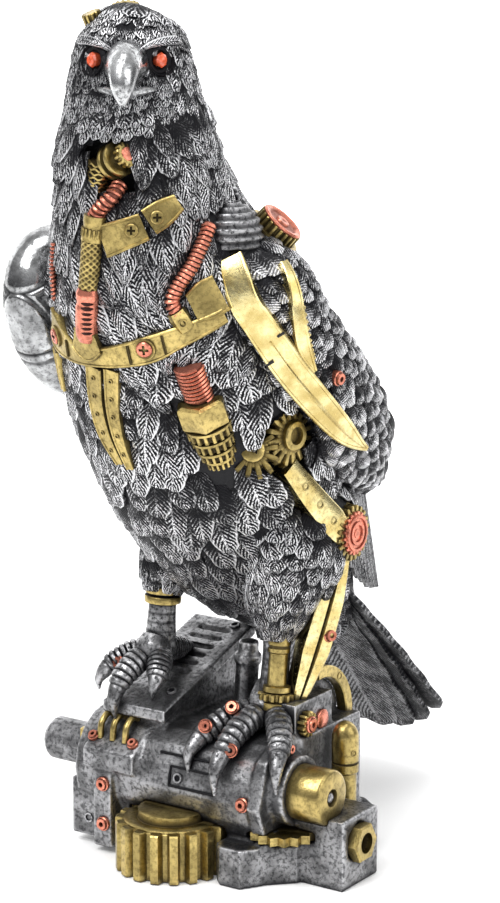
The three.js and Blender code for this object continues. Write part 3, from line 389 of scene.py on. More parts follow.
def eyelet(radius, rise=0.25):
    """A drilled hole's rim and its dark inside."""
    return turned([(1.6 * radius, -0.4), (1.5 * radius, rise), (radius, rise, 0.4), (0.9 * radius, -0.3, 1),
                   (0.02, -0.35, 1)], 12)


def band(surface, path, rise, steps=40, rim=0.5, edge=0.35):
    """A strap along a surface through (travel, angle, half width), with broken edges and a raised rim."""
    path = np.asarray(path, float)
    share = np.linspace(0, 1, steps + 1)
    travel, angle, half = catmull(path, share).T
    middle = surface.over(travel, angle)
    normal = surface.normal(travel, np.radians(angle))
    along = unit(np.gradient(middle, axis=0))
    side = unit(np.cross(along, normal))
    half = half[:, None]
    profile = [(-1, 0, -SINK), (-1, 0, rise - edge), (-1, edge, rise), (-1, edge + rim, rise),
               (-1, edge + rim + 0.2, rise - 0.3), (1, -edge - rim - 0.2, rise - 0.3), (1, -edge - rim, rise),
               (1, -edge, rise), (1, 0, rise - edge), (1, 0, -SINK)]
    rings = np.stack([middle + side * (sign * half + inset) + normal * out for sign, inset, out in profile],
                     axis=1)
    return loft(rings)


# Paints


class Nodes:
    """Short calls for building one paint's nodes."""

    def __init__(self, name):
        self.material = bpy.data.materials.new(name)
        self.material.use_nodes = True
        self.tree = self.material.node_tree
        self.shader = self.tree.nodes["Principled BSDF"]

    @classmethod
    def on(cls, world):
        """The same short calls for a world's nodes."""
        nodes = cls.__new__(cls)
        nodes.tree = world.node_tree
        return nodes

    def add(self, kind, **settings):
        node = self.tree.nodes.new(kind)
        for key, value in settings.items():
            setattr(node, key, value)
        return node

    def feed(self, socket, value):
        if isinstance(value, bpy.types.NodeSocket):
            self.tree.links.new(value, socket)
        else:
            socket.default_value = value

    def math(self, operation, a, b=0.0):
        node = self.add("ShaderNodeMath", operation=operation)
        for socket, value in zip(node.inputs, (a, b)):
            self.feed(socket, value)
        return node.outputs[0]

    def times(self, a, b):
        return self.math("MULTIPLY", a, b)

    def plus(self, a, b):
        return self.math("ADD", a, b)

    def ramp(self, value, low, high, out_low=0.0, out_high=1.0, smooth=True):
        node = self.add("ShaderNodeMapRange", interpolation_type="SMOOTHSTEP" if smooth else "LINEAR")
        for socket, given in zip(node.inputs[:5], (value, low, high, out_low, out_high)):
            self.feed(socket, given)
        return node.outputs[0]

    def mix(self, share, a, b):
        node = self.add("ShaderNodeMix", data_type="RGBA")
        self.feed(node.inputs[0], share)
        for socket, colour in ((node.inputs[6], a), (node.inputs[7], b)):
            self.feed(socket, colour if isinstance(colour, bpy.types.NodeSocket) else (*colour[:3], 1))
        return node.outputs[2]

    def noise(self, size_mm, detail=3.0):
        node = self.add("ShaderNodeTexNoise")
        self.feed(node.inputs["Vector"], self.add("ShaderNodeTexCoord").outputs["Object"])
        node.inputs["Scale"].default_value = 1 / (size_mm * MM)
        node.inputs["Detail"].default_value = detail
        return node.outputs["Fac"]

    def crevice(self, reach_mm):
        # How open a point is to ambient light, with other pieces counted: the paints darken by it, for black
        # undercoat in hollows and for painted shade near other pieces
        node = self.add("ShaderNodeAmbientOcclusion", samples=6)
        node.inputs["Distance"].default_value = reach_mm * MM
        return node.outputs["AO"]

    def value(self, name, part=None):
        node = self.add("ShaderNodeAttribute", attribute_name=name)
        if part is None:
            return node.outputs["Fac"]
        parts = self.add("ShaderNodeSeparateXYZ")
        self.feed(parts.inputs[0], node.outputs["Vector"])
        return parts.outputs[part]

    def bump(self, height, depth_mm):
        node = self.add("ShaderNodeBump")
        node.inputs["Distance"].default_value = depth_mm * MM
        self.feed(node.inputs["Height"], height)
        self.feed(self.shader.inputs["Normal"], node.outputs[0])


def paint(name, bright, dark, *, metal=1.0, smooth=0.3, rough=0.6, reach=3.0, black_and_shade_range=(0.35, 0.85),
          speckle=0.35, shade=None, grain=0.12, edges=0.0):
    """A metallic paint brushed over a dark coat: dark stays in specks, where black undercoat is left, and in
    crevices; the occlusion node that finds the crevices also paints shade where other pieces come close.
    """
    n = Nodes(name)
    broad, fine, dust = n.noise(9.0), n.noise(1.4, 5.0), n.noise(0.5, 2.0)
    # Dark where occlusion is high: black undercoat left in crevices, and painted shade where other pieces lie
    # close
    out_of_hollows_and_shade = n.ramp(n.crevice(reach), *black_and_shade_range)
    specks = n.ramp(n.plus(n.times(fine, 0.7), n.times(dust, 0.3)), 0.36, 0.56)
    worn = n.plus(1.0 - speckle, n.times(specks, speckle))
    clear_of_undercoat_and_shade = n.math("SUBTRACT", 1.0, n.value("undercoat_and_shade"))
    mask = n.times(n.times(out_of_hollows_and_shade, worn), clear_of_undercoat_and_shade)
    top = n.mix(n.ramp(broad, 0.35, 0.65), shade or bright, bright)
    if edges:
        corner = n.ramp(n.add("ShaderNodeNewGeometry").outputs["Pointiness"], 0.505, 0.56)
        top = n.mix(n.times(corner, edges), top, tuple(min(1.7 * c, 0.9) for c in bright))
    n.feed(n.shader.inputs["Base Color"], n.mix(mask, dark, top))
    n.feed(n.shader.inputs["Metallic"], n.ramp(mask, 0.1, 0.6, 0.2, metal))
    n.feed(n.shader.inputs["Roughness"], n.ramp(mask, 0.0, 1.0, rough, smooth))
    n.shader.inputs["Specular IOR Level"].default_value = 0.2
    n.bump(n.plus(n.times(fine, 0.6), n.times(dust, 0.4)), grain)
    return n.material


def feather_paint(name, bright, dark, *, pitch, slant=28.0, half=3.2, silver=1.0, rim=0.5, fine=1.0,
                  smooth=0.34, wander=6.5, ground=0.0):
    """Silver brushed over black feathers: it catches on the barbs, the shaft and the rims.

    The barbs slant along the feather by slant degrees from its shaft, pitch millimetres apart.
    """
    n = Nodes(name)
    across, along, chance = (n.value("barb", part) for part in range(3))
    aside = n.math("ABSOLUTE", across)
    broken, specks, patches = n.noise(1.7, 4.0), n.noise(0.5, 3.0), n.noise(7.0, 2.0)
    lean = math.radians(slant)
    phase = n.plus(n.times(along, math.sin(lean) * TURN / pitch),
                   n.plus(n.times(aside, -half * math.cos(lean) * TURN / pitch), n.times(broken, wander)))
    barbs = n.ramp(n.math("SINE", phase), -0.35, 0.7)
    shaft = n.ramp(aside, 0.12, 0.03)
    border = n.ramp(aside, 0.7, 0.95)
    height = n.math("MAXIMUM", barbs, shaft)
    caught = n.plus(ground, n.times(height, n.ramp(specks, 0.4, 0.58, 0.12, 1.0)))
    caught = n.plus(caught, n.times(border, rim))
    patchy = n.ramp(n.plus(n.times(patches, 0.6), n.plus(n.times(broken, 0.4), n.times(chance, 0.3))),
                    0.42, 0.84, 0.2, 1.3)
    # Dark where occlusion is high: black undercoat left in crevices, and painted shade where other pieces lie
    # close
    out_of_hollows_and_shade = n.ramp(n.crevice(3.0), 0.3, 0.8)
    # The black stays where undercoat is left and where painted shadow lies on the covered root of a feather
    clear_of_undercoat_and_shade = n.ramp(n.value("undercoat_and_shade"), 0.0, 1.0, 1.0, 0.13, smooth=False)
    mask = n.times(n.times(n.times(caught, patchy), n.times(out_of_hollows_and_shade, clear_of_undercoat_and_shade)), silver)
    coat = n.ramp(mask, 0.04, 0.6)
    n.feed(n.shader.inputs["Base Color"], n.mix(coat, dark, bright))
    n.feed(n.shader.inputs["Metallic"], n.ramp(coat, 0.0, 0.6, 0.1, 0.9))
    n.feed(n.shader.inputs["Roughness"], n.ramp(coat, 0.0, 1.0, 0.5, smooth))
    n.shader.inputs["Specular IOR Level"].default_value = 0.12
    n.bump(n.plus(height, n.times(specks, 0.4)), 0.42 * fine)
    return n.material


# Settings


def colour_property(name, description, default):
    return FloatVectorProperty(name=name, description=description, subtype="COLOR", size=3, min=0, max=1,
                               default=default)


def length_property(name, description, default, low, high):
    return FloatProperty(name=name, description=description, subtype="DISTANCE", unit="LENGTH",
                         default=default, min=low, max=high)


class PaintSettings(bpy.types.PropertyGroup):
    """Colours of the paints."""

    silver: colour_property("Silver", "Dry-brushed silver on feathers and machine", (0.84, 0.84, 0.86))
    polished: colour_property("Polished silver", "Beak, wing shell and shaft", (0.80, 0.81, 0.82))
    undercoat: colour_property("Undercoat", "Black coat left in the crevices", (0.008, 0.008, 0.010))
    brass: colour_property("Brass", "Antique brass of gears and straps", (0.60, 0.46, 0.17))
    pale_brass: colour_property("Pale brass", "Light gold of the wing blades", (0.88, 0.77, 0.40))
    patina: colour_property("Patina", "Dark brown coat under the brass", (0.045, 0.032, 0.012))
    copper: colour_property("Copper", "Salmon copper of coils and screws", (0.86, 0.30, 0.20))
    stone: colour_property("Stone", "Faceted eyes", (0.85, 0.13, 0.05))
    floor: colour_property("Floor", "Pale studio floor", (0.93, 0.93, 0.93))


class PlumageSettings(bpy.types.PropertyGroup):
    """Sizes of the feathers."""

    width: FloatProperty(name="Width", description="Scale of the feathers' widths", subtype="FACTOR",
                         default=1.0, min=0.5, max=2)
    rise: length_property("Rise", "How far a feather's tip stands off the skin", 0.0024, 0.0005, 0.005)
    barb_pitch: length_property("Barb pitch", "Distance between the barbs along a feather", 0.0008, 0.0004,
                                0.003)
    seed: IntProperty(name="Seed", description="Start of the feathers' irregularity", default=7, min=0)


class FittingSettings(bpy.types.PropertyGroup):
    """Sizes of the fittings."""

    plate_rise: length_property("Plate rise", "How far straps stand off the plumage", 0.0032, 0.001, 0.006)
    coil_pitch: length_property("Coil pitch", "Distance between the turns of a copper coil", 0.0015, 0.0006,
                                0.004)
    bolt_radius: length_property("Bolt radius", "Radius of the copper bolts", 0.0026, 0.001, 0.005)


class StageSettings(bpy.types.PropertyGroup):
    """Studio light and camera."""

    key: FloatProperty(name="Key light", description="Power of the main soft light in watts",
                       unit="POWER", default=9.0, min=0)
    fill: FloatProperty(name="Fill light", description="Power of the soft side light in watts",
                        unit="POWER", default=5.0, min=0)
    sky: FloatProperty(name="Room light", description="Strength of the even light all round",
                       default=0.75, min=0)
    lens: FloatProperty(name="Lens", description="Focal length of the camera in millimetres",
                        unit="CAMERA", default=101.9, min=1)


PAINTS = {}
SLOTS = {
    **dict.fromkeys(("silver", "foot_silver", "body_black", "feathers", "fine_feathers", "scales", "flight"),
                    "antique_silver"),
    "polished": "polished_silver", "shell": "polished_silver", "brass": "antique_brass",
    "bright_brass": "antique_brass", "pale_brass": "pale_brass", "copper": "copper",
    "blackened": "blackened", "stone": "red_stone"}


def make(name, patches, *paints, replaces=None, smooth=True, crease=40):
    """A named piece from patches, riding on the one body, with its paints in the given order."""
    whole = merged(patches if isinstance(patches, (list, tuple)) else [patches])
    mesh = bpy.data.meshes.new(name)
    mesh.from_pydata((whole.corners * MM).tolist(), [], whole.faces)
    for paint_name in paints:
        mesh.materials.append(PAINTS[paint_name])
    mesh.polygons.foreach_set("material_index", whole.coats)
    barb = mesh.attributes.new("barb", "FLOAT_VECTOR", "POINT")
    barb.data.foreach_set("vector", whole.barb.ravel())
    undercoat_and_shade = mesh.attributes.new("undercoat_and_shade", "FLOAT", "POINT")
    undercoat_and_shade.data.foreach_set("value", whole.undercoat_and_shade)
    mesh.polygons.foreach_set("use_smooth", [smooth] * len(mesh.polygons))
    if smooth and crease:
        mesh.set_sharp_from_angle(angle=math.radians(crease))
    mesh.update()
    piece = bpy.data.objects.new(name, mesh)
    bpy.context.scene.collection.objects.link(piece)
    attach(piece, "root")
    if replaces:
        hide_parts(replaces)


def repaint(name, paint_name):
    """A paint on a solid that is shown as it is."""
    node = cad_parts[name]
    node.material_slots[0].material = PAINTS[paint_name]
    return node


# Openings in the plumage


class Opening:
    """A hollow: a box with rounded corners, or an ellipsoid, in its own frame."""

    def __init__(self, frame_here, half, power=2):
        self.frame, self.half, self.power = frame_here, np.array(half, float), power

    def within(self, points, grow=1.0):
        local = (points - self.frame[:3, 3]) @ self.frame[:3, :3]
        return (np.abs(local / (self.half * grow)) ** self.power).sum(-1) < 1

    def bowl(self):
        """The hollow's own wall, where it lies inside the eagle."""
        rows, columns = 25, 36
        ball = ball_grid(rows, columns)[0].reshape(-1, 3)
        ball /= (np.abs(ball) ** self.power).sum(-1, keepdims=True) ** (1 / self.power)
        corners = (ball * self.half) @ self.frame[:3, :3].T + self.frame[:3, 3]
        faces = grid_faces(rows, columns, wrap=True)
        middles = corners[np.array(faces)].mean(1)
        inside = np.zeros(len(faces), bool)
        for surface in (TRUNK, *WINGS.values(), *THIGHS.values()):
            inside |= surface.inside(middles, -1.0)
        return Patch(corners, [f for f, keep in zip(faces, inside) if keep], undercoat_and_shade=1.0)


def throat_opening():
    """The four-cornered hollow in the throat that the ribbed drum lies in."""
    lean = math.radians(12)
    turn_in = np.eye(4)
    turn_in[:2, :2] = [[math.cos(lean), -math.sin(lean)], [math.sin(lean), math.cos(lean)]]
    return Opening(TRUNK.place(46, -6) @ turn_in, (8, 10, 8), 6)


OPENINGS = [throat_opening(), Opening(aimed(bird(42, -23, 107), (0, 0, 1)), (11, 14, 14))]
EYE_PLACES = {side: aimed(face(17.5, side * 11, 3), face(0.72, side * 0.69, 0.02) - face(0, 0, 0))
              for side in (-1, 1)}
SOCKETS = [Opening(EYE_PLACES[side] @ np.array(Matrix.Translation((0, 0, 1.5))), (5, 5, 5))
           for side in (-1, 1)]


def skin(surface, rows, columns):
    """The smooth dark body under the feathers, open where the eagle is."""
    travel = np.linspace(0, surface.length, rows)[:, None]
    angle = round_angles(columns)[None, :]
    corners = surface.point(travel, angle, -0.4).reshape(-1, 3)
    faces = np.array(grid_faces(rows, columns, wrap=True))
    middles = corners[faces].mean(1)
    keep = np.ones(len(faces), bool)
    for opening in (*OPENINGS, *SOCKETS):
        keep &= ~opening.within(middles, 0.97)
    for middle, radius in STRUT_GAPS:
        keep &= np.linalg.norm(middles - middle, axis=1) > radius
    return Patch(corners, faces[keep].tolist(), undercoat_and_shade=0.55)


# Places of the fittings, and where no feather grows over them

COG_PLACE = aimed(bird(31.4, -19.2, 177.2), (0.65, 0.2, 0.73))
BEVEL_PLACE = aimed(bird(34, -18.5, 111), (0.985, -0.156, 0))
PINION_PLACE = aimed(bird(31, -28, 105), (0.5, -0.75, 0.3))
KNEE_PLACE = aimed(bird(43, 10, 72), (1, 0, 0))
PLUG_FROM, PLUG_TO = bird(26, -58, 139), bird(26, -37, 99)
LEFT_WING = WINGS[1]
STRUT_PATH = [(37, -19, 100), (40, -9, 88), (43, 2, 76), (43.5, 11, 67)]
SHIN_PATH = [(40, 11.5, 66), (37.5, 9, 50), (33, 6, 30), (28, 3, 12)]
SHOULDER = bird(27, -37, 179)
CROWN_PLACES = bird(-7.5, -61, 246.5), bird(-1, -54, 251)
BARE = [(CROWN_PLACES[0], 3.2), (CROWN_PLACES[1], 4.4), (SHOULDER, 13.6), (BEVEL_PLACE[:3, 3], 13),
        (PINION_PLACE[:3, 3], 12.5), (KNEE_PLACE[:3, 3], 11.5)]
STRUT_GAPS = [(bird(*catmull(np.array(path, float), share)), 6.4) for path in (STRUT_PATH, SHIN_PATH)
              for share in np.linspace(0, 1, 14)]
BARE += [(middle, 8.6) for middle, _ in STRUT_GAPS]
BARE += [(PINION_PLACE[:3, 3] + (-1, 0, rise), 8) for rise in (8, 14)]
BARE += [(PLUG_FROM + (PLUG_TO - PLUG_FROM) * share, 8.5) for share in np.linspace(0.1, 1, 8)]


# Feathers

LEAF_ROWS, LEAF_COLUMNS = 12, 9
LEAF_ACROSS = np.array([-1.0, -1.0, -0.72, -0.36, 0, 0.36, 0.72, 1.0, 1.0])
LEAF_SKIRT = np.array([1.0, 0, 0, 0, 0, 0, 0, 0, 1.0])


def leaf_width(share, point):
    """A feather's half width along it: rounded at point 0, long and pointed at point 1."""
    root = 0.62 + 0.38 * np.sin(np.minimum(share / 0.5, 1) * math.pi / 2)
    tip = np.clip((share - 0.5) / 0.5, 0, 1) ** (2.4 - 1.3 * point)
    return root * np.sqrt(np.maximum(1 - tip, 0.0) ** (1 + 0.5 * point) + 0.004)


def coat_of(surface, start, end, spacing, width, settings, *, length=1.9, point=0.4, rise=1.0, lean=None,
            hide=(), arch=0.9, jitter=0.12, shadow_end=0.74, keep=None, seed=0):
    """Overlapping feathers down a surface. spacing and width are (first, last) in millimetres."""
    chance = np.random.default_rng(settings.seed + seed)
    travels, angles, sizes = [], [], []
    travel, row = start, 0
    while travel < end:
        share = (travel - start) / max(end - start, 1e-6)
        step = spacing[0] + (spacing[1] - spacing[0]) * share
        wide = (width[0] + (width[1] - width[0]) * share) * settings.width
        round_it = float(np.mean(surface.reach(np.full(12, travel), round_angles(12)))) * TURN
        count = max(4, round(round_it / wide))
        angles.append((np.arange(count) + 0.5 * (row % 2)) / count * TURN)
        travels.append(np.full(count, travel))
        sizes.append(np.tile([step * length, 0.62 * wide], (count, 1)))
        travel += step
        row += 1
    travel, angle, size = np.concatenate(travels), np.concatenate(angles), np.vstack(sizes)
    count = len(travel)
    size = size * (1 + jitter * chance.uniform(-1, 1, (count, 2)))
    travel = travel + 0.12 * size[:, 0] * chance.uniform(-1, 1, count)
    turned_by = np.radians(7) * chance.normal(0, 1, count)
    if lean:
        turned_by = turned_by + lean(travel, angle)
    middles = surface.point(travel + 0.5 * size[:, 0], angle)
    kept = np.ones(count, bool)
    for opening in OPENINGS:
        kept &= ~opening.within(middles, 1.06)
    for other in hide:
        kept &= ~other.inside(middles, HIDDEN)
    if keep is not None:
        kept &= keep(travel, angle, middles)
    outer = surface.point(travel + 0.7 * size[:, 0], angle)
    for middle, radius in BARE:
        kept &= np.linalg.norm(outer - middle, axis=1) > radius
    travel, angle, size, turned_by = travel[kept], angle[kept], size[kept], turned_by[kept]
    count = len(travel)
    share = np.linspace(0, 1, LEAF_ROWS)[None, :, None]
    across = LEAF_ACROSS[None, None, :]
    skirt = np.maximum(LEAF_SKIRT[None, None, :], (share > 0.999).astype(float))
    ragged = 1 + 0.10 * chance.uniform(-1, 1, (count, LEAF_ROWS, LEAF_COLUMNS)) * (np.abs(across) > 0.9)
    outline = leaf_width(share, point) * size[:, 1, None, None] * ragged
    x = across * outline
    y = share * size[:, 0, None, None]
    bend = chance.uniform(-0.12, 0.12, count)[:, None, None]
    x = x + bend * share**2 * size[:, 0, None, None]
    turn_cos, turn_sin = np.cos(turned_by)[:, None, None], np.sin(turned_by)[:, None, None]
    x, y = x * turn_cos + y * turn_sin, y * turn_cos - x * turn_sin
    lift_tip = settings.rise / MM * rise * (1 + 0.2 * chance.uniform(-1, 1, count))[:, None, None]
    lift = -0.5 + lift_tip * share**0.85
    lift = lift + arch * (1 - np.abs(across) ** 1.6) * (0.25 + 0.75 * share * (1 - share) * 3)
    lift = lift + 0.25 * np.exp(-((across / 0.13) ** 2)) - skirt * 1.3
    reach = surface.reach(travel, angle)[:, None, None]
    at = np.clip(travel[:, None, None] + y, 0, surface.length - 0.5)
    corners = surface.point(at, angle[:, None, None] + x / reach, lift)
    barb = np.stack(np.broadcast_arrays(
        np.tile(across, (count, LEAF_ROWS, 1)), share * size[:, 0, None, None],
        chance.uniform(0, 1, count)[:, None, None]), axis=-1)
    # Painted shadow: each feather is darkened from its root up to a set share of its length, where the
    # feather laid over it shades it; the turned-down rim is kept dark too
    painted_shadow = np.clip((shadow_end - share) / 0.34, 0, 1) * 0.92
    faces = np.array(grid_faces(LEAF_ROWS, LEAF_COLUMNS))
    stride = LEAF_ROWS * LEAF_COLUMNS
    faces = (faces[None] + (np.arange(count) * stride)[:, None, None]).reshape(-1, 4)
    return Patch(corners, faces.tolist(), barb, np.maximum(painted_shadow, 0.9 * skirt + 0 * lift).reshape(-1))


def vane(root, tip, facing, wide, thick, chance, sag=0.0):
    """A long flight feather with a shaft, its flat side towards facing."""
    rows, columns = 26, 11
    root, tip = np.asarray(root, float), np.asarray(tip, float)
    along = unit(tip - root)
    side = unit(np.cross(along, facing))
    up = np.cross(side, along)
    share = np.linspace(0, 1, rows)[:, None]
    across = np.linspace(-1, 1, columns)[None, :]
    end = np.sqrt(np.clip(1 - (np.clip((share - 0.86) / 0.14, 0, 1)) ** 2.2, 0.01, 1))
    width = wide * (0.75 + 0.25 * np.minimum(share / 0.5, 1)) * end
    wave = 1 + 0.05 * np.sin(share * 37 + chance.uniform(0, 6)) * (np.abs(across) > 0.9)
    length = np.linalg.norm(tip - root)
    lift = thick * (1 - 0.75 * np.abs(across) ** 1.5) + 0.5 * np.exp(-((across / 0.1) ** 2))
    lift = lift + sag * np.sin(share * math.pi)

    def layer(height):
        return (root + along * share[..., None] * length + side * (across * width * wave)[..., None]
                + up * (height + 0 * share * across)[..., None])

    top, bottom = layer(lift), layer(-0.25 * thick + 0 * lift)
    corners = np.concatenate([top.reshape(-1, 3), bottom.reshape(-1, 3)])
    count, last = rows * columns, columns - 1
    faces = grid_faces(rows, columns) + [f[::-1] for f in grid_faces(rows, columns, start=count)]
    edge = ([(r * columns, (r + 1) * columns) for r in range(rows - 1)]
            + [(count - columns + c, count - last + c) for c in range(last)]
            + [((r + 1) * columns + last, r * columns + last) for r in reversed(range(rows - 1))]
            + [(c + 1, c) for c in reversed(range(last))])
    faces += [(a, b, b + count, a + count) for a, b in edge]
    barb = np.stack(np.broadcast_arrays(across, share * length, chance.uniform()), axis=-1).reshape(-1, 3)
    return Patch(corners, faces, np.concatenate([barb, barb]))


# Pieces of the eagle


def make_body():
    skins = [skin(TRUNK, 150, 120), *[skin(wing, 70, 60) for wing in WINGS.values()],
             *[skin(thigh, 40, 48) for thigh in THIGHS.values()]]
    bowls = [opening.bowl() for opening in (*OPENINGS, *SOCKETS)]
    make("eagle_body", skins + bowls, "body_black", replaces="eagle")


def hackle_lean(travel, angle):
    """Neck and breast feathers sweep away from the front and drift in broad waves."""
    return np.radians(26) * np.sin(angle * 2 + travel / 45) + np.radians(18) * np.sin(3 * angle - travel / 22)


def make_plumage(settings):
    wings, thighs = list(WINGS.values()), list(THIGHS.values())

    def off_face(travel, angle, middles):
        local = np.abs((np.degrees(angle) + 180) % 360 - 180)
        return ~((travel > 9) & (travel < 33) & (local < 50))

    head = coat_of(TRUNK, 0.6, 34, (2.5, 4.8), (2.6, 4.4), settings, rise=0.45, point=0.7, arch=0.5,
                   shadow_end=0.6, jitter=0.25, keep=off_face, seed=1)
    near_face = coat_of(TRUNK, 9.7, 32, (2.0, 2.8), (2.0, 2.7), settings, rise=0.3, point=0.8, arch=0.3,
                        shadow_end=0.6, jitter=0.3, seed=2,
                        keep=lambda t, a, m: ~off_face(t, a, m) & ~SOCKETS[0].within(m, 1.15)
                        & ~SOCKETS[1].within(m, 1.15))
    fringe = coat_of(TRUNK, 29.5, 33, (2.6, 2.6), (3.6, 3.6), settings, rise=0.7, point=0.8, length=2.1,
                     arch=0.5, shadow_end=0.6, jitter=0.2, seed=5,
                     keep=lambda t, a, m: np.cos(a + 0.1) > 0.84)
    neck = coat_of(TRUNK, 33, 104, (6.0, 8.2), (5.0, 7.2), settings, rise=1.0, point=1.0, length=2.5,
                   lean=hackle_lean, hide=wings, jitter=0.22, shadow_end=0.58, arch=1.1, seed=3)
    body = coat_of(TRUNK, 104, 262, (7.6, 9.5), (7.6, 8.6), settings, rise=1.0, point=0.35, length=2.0,
                   lean=lambda t, a: np.radians(10) * np.sin(2 * a + t / 30), hide=wings + thighs,
                   jitter=0.2, seed=4)
    make("head_feathers", [head, near_face, fringe], "fine_feathers")
    make("neck_feathers", neck, "feathers")
    make("body_feathers", body, "feathers")


def make_wings(settings):
    chance = np.random.default_rng(settings.seed + 40)
    for side, name in ((1, "left"), (-1, "right")):
        wing = WINGS[side]
        coverts = coat_of(wing, 2, wing.length - 4, (4.6, 6.6), (5.4, 6.6), settings, rise=0.8, point=0.0,
                          jitter=0.2, length=1.55, arch=1.7, hide=[TRUNK], seed=50 + side)
        quills = [vane(bird(side * (36 - 2 * k), 20 + 5 * k, 105 - 2 * k),
                       bird(side * (31 - 2.2 * k), 40 + 6.2 * k, 50 - 3.4 * k + chance.uniform(-2, 2)),
                       (side, 0.12 * k, 0), 5.6, 2.0, chance) for k in range(5)]
        make(f"wing_{name}_coverts", coverts, "scales")
        make(f"wing_{name}_primaries", quills, "flight")


def make_thighs(settings):
    for side, name in ((1, "left"), (-1, "right")):
        thigh = THIGHS[side]
        trousers = coat_of(thigh, 2, thigh.length - 5, (5.4, 6.4), (6.4, 5.6), settings, rise=0.9, point=0.5,
                           length=2.0, hide=[TRUNK], seed=60 + side)
        make(f"thigh_{name}_feathers", trousers, "feathers")


def make_tail(settings):
    chance = np.random.default_rng(settings.seed + 80)
    vanes = []
    for k in range(7):
        out = 2 * k / 6 - 1
        sag = out * out
        vanes.append(vane(bird(13 * out, 45 - 2 * sag, 46.5), bird(25 * out, 110 - 5 * sag, -33 + 13 * sag),
                          (0.25 * out, 0.8, 0.6), 11.5, 2.2, chance, sag=1.0))
    make("tail_feathers", vanes, "flight")


def make_head():
    sections = np.array([(12, 0, 8.5, 9, 0), (20, 1, 7.2, 8.2, 8), (26, 0.6, 5.8, 6.8, 22),
                         (30.5, -1.8, 4.6, 5.2, 48), (32.6, -6, 3.4, 3.4, 78), (32.2, -10.4, 1.2, 1.2, 90)])
    rings = []
    for share in np.linspace(0, 1, 32):
        ahead, up, wide, high, dip = catmull(sections, share)
        dip = math.radians(dip)
        ring = []
        for a in round_angles(40):
            ridge = 1 + 0.05 * max(0, math.sin(a)) ** 12
            pinch = 1 - 0.12 * math.exp(-(((a % TURN) - 1.18 * math.pi) / 0.12) ** 2) * (share < 0.6)
            pinch -= 0.12 * math.exp(-(((a % TURN) - 1.82 * math.pi) / 0.12) ** 2) * (share < 0.6)
            r = ridge * pinch
            ring.append(face(ahead + math.sin(a) * high * r * math.sin(dip), math.cos(a) * wide * r,
                             up + math.sin(a) * high * r * math.cos(dip)))
        rings.append(ring)
    beak = loft(rings)
    nostrils = [rod([face(22.2, side * 6.6, 4.6), face(24.0, side * 6.4, 3.4), face(25.2, side * 6.0, 2.2)],
                    [0.3, 0.9, 0.3], 8, 6, undercoat_and_shade=1.0) for side in (-1, 1)]
    lips = [rod([face(17.4, side * 10.2, -5.0), face(20, side * 8.4, -6.2), face(23.5, side * 6.0, -6.2),
                 face(27, side * 3.2, -6.8)], [0.2, 0.9, 1.3, 0.9], 10, 14, undercoat_and_shade=0.25) for side in (-1, 1)]
    brows = [rod([face(21.5, side * 3.6, 5.6), face(19.5, side * 8.6, 8.2), face(12.5, side * 14.6, 9.0),
                  face(4, side * 17, 7)], [0.5, 1.4, 1.5, 0.3], 12, 60) for side in (-1, 1)]
    for brow in brows:
        around = np.tile(np.abs(np.sin(round_angles(12))), 61)
        brow.barb = np.stack([around, np.repeat(np.arange(61) * 0.45, 12), 0.6 + 0 * around], axis=1)
    rims = []
    for side in (-1, 1):
        rim = turned([(2.8, -3, 1), (3.2, -0.8, 1), (4.0, -0.5, 1), (5.4, -1.2, 0.95), (5.8, -3, 0.9)],
                     caps=False)
        rims.append(rim.moved(EYE_PLACES[side]))
    make("beak", [beak, *nostrils, *lips], "polished")
    make("brows", brows, "fine_feathers")
    make("eye_sockets", rims, "body_black")
    for side, name in ((-1, "eye_right"), (1, "eye_left")):
        profile = [(1.7, -2.4), (2.05, 0.1), (1.7, 0.9), (1.0, 1.55), (0.02, 1.6)]
        gem = turned(profile, 8)
        gem.corners[:, 1] *= 1.22
        gem.moved(EYE_PLACES[side])
        make(f"gem_{name}", gem, "stone", replaces=name, smooth=False)


FEET = {
    "left": {"ankle": (23.4, -0.4, 39), "hub": (22, -2, 7), "toes": [
        [(14, -12, 6), (7.5, -22, 1), (5, -29, -5), (5.5, -30.5, -12)],
        [(21, -15, 6), (20, -26, 1), (19.5, -34, -7), (20, -35.5, -16)],
        [(31, -12, 6), (37.5, -21, 1), (41, -28.5, -5), (42, -30, -13)],
        [(22, 9, 6), (22, 16, 4), (22, 20, 0.5)]]},
    "right": {"ankle": (-24.3, -2.7, 51), "hub": (-25, -5, 22), "toes": [
        [(-32, -11, 21), (-38, -17, 17), (-41, -20, 12), (-41, -20.5, 8)],
        [(-27, -15, 20), (-28.5, -23, 15), (-29, -27.5, 8), (-29, -27, 1)],
        [(-20, -12, 20), (-17.5, -17, 16), (-17, -20, 12), (-17.5, -20.5, 8)],
        [(-25, 6, 20), (-25, 12, 19), (-25, 16, 17)]]}}


def scaled_toe(points):
    """A toe ringed with scutes that runs out into a smooth claw."""
    steps = 60
    share = np.linspace(0, 1, steps + 1)
    radius = np.interp(share, np.linspace(0, 1, 6), [5.2, 4.6, 4.7, 4.1, 2.7, 0.5])
    scute = np.abs((share * 15) % 1 - 0.5) * 2
    radius = radius * np.where(share < 0.68, 1.03 - 0.2 * scute**4, 0.92)
    undercoat_and_shade = np.where(share < 0.68, 0.8 * scute**6, 0.0)
    return rod([bird(*p) for p in points], radius, 14, steps, undercoat_and_shade=undercoat_and_shade)


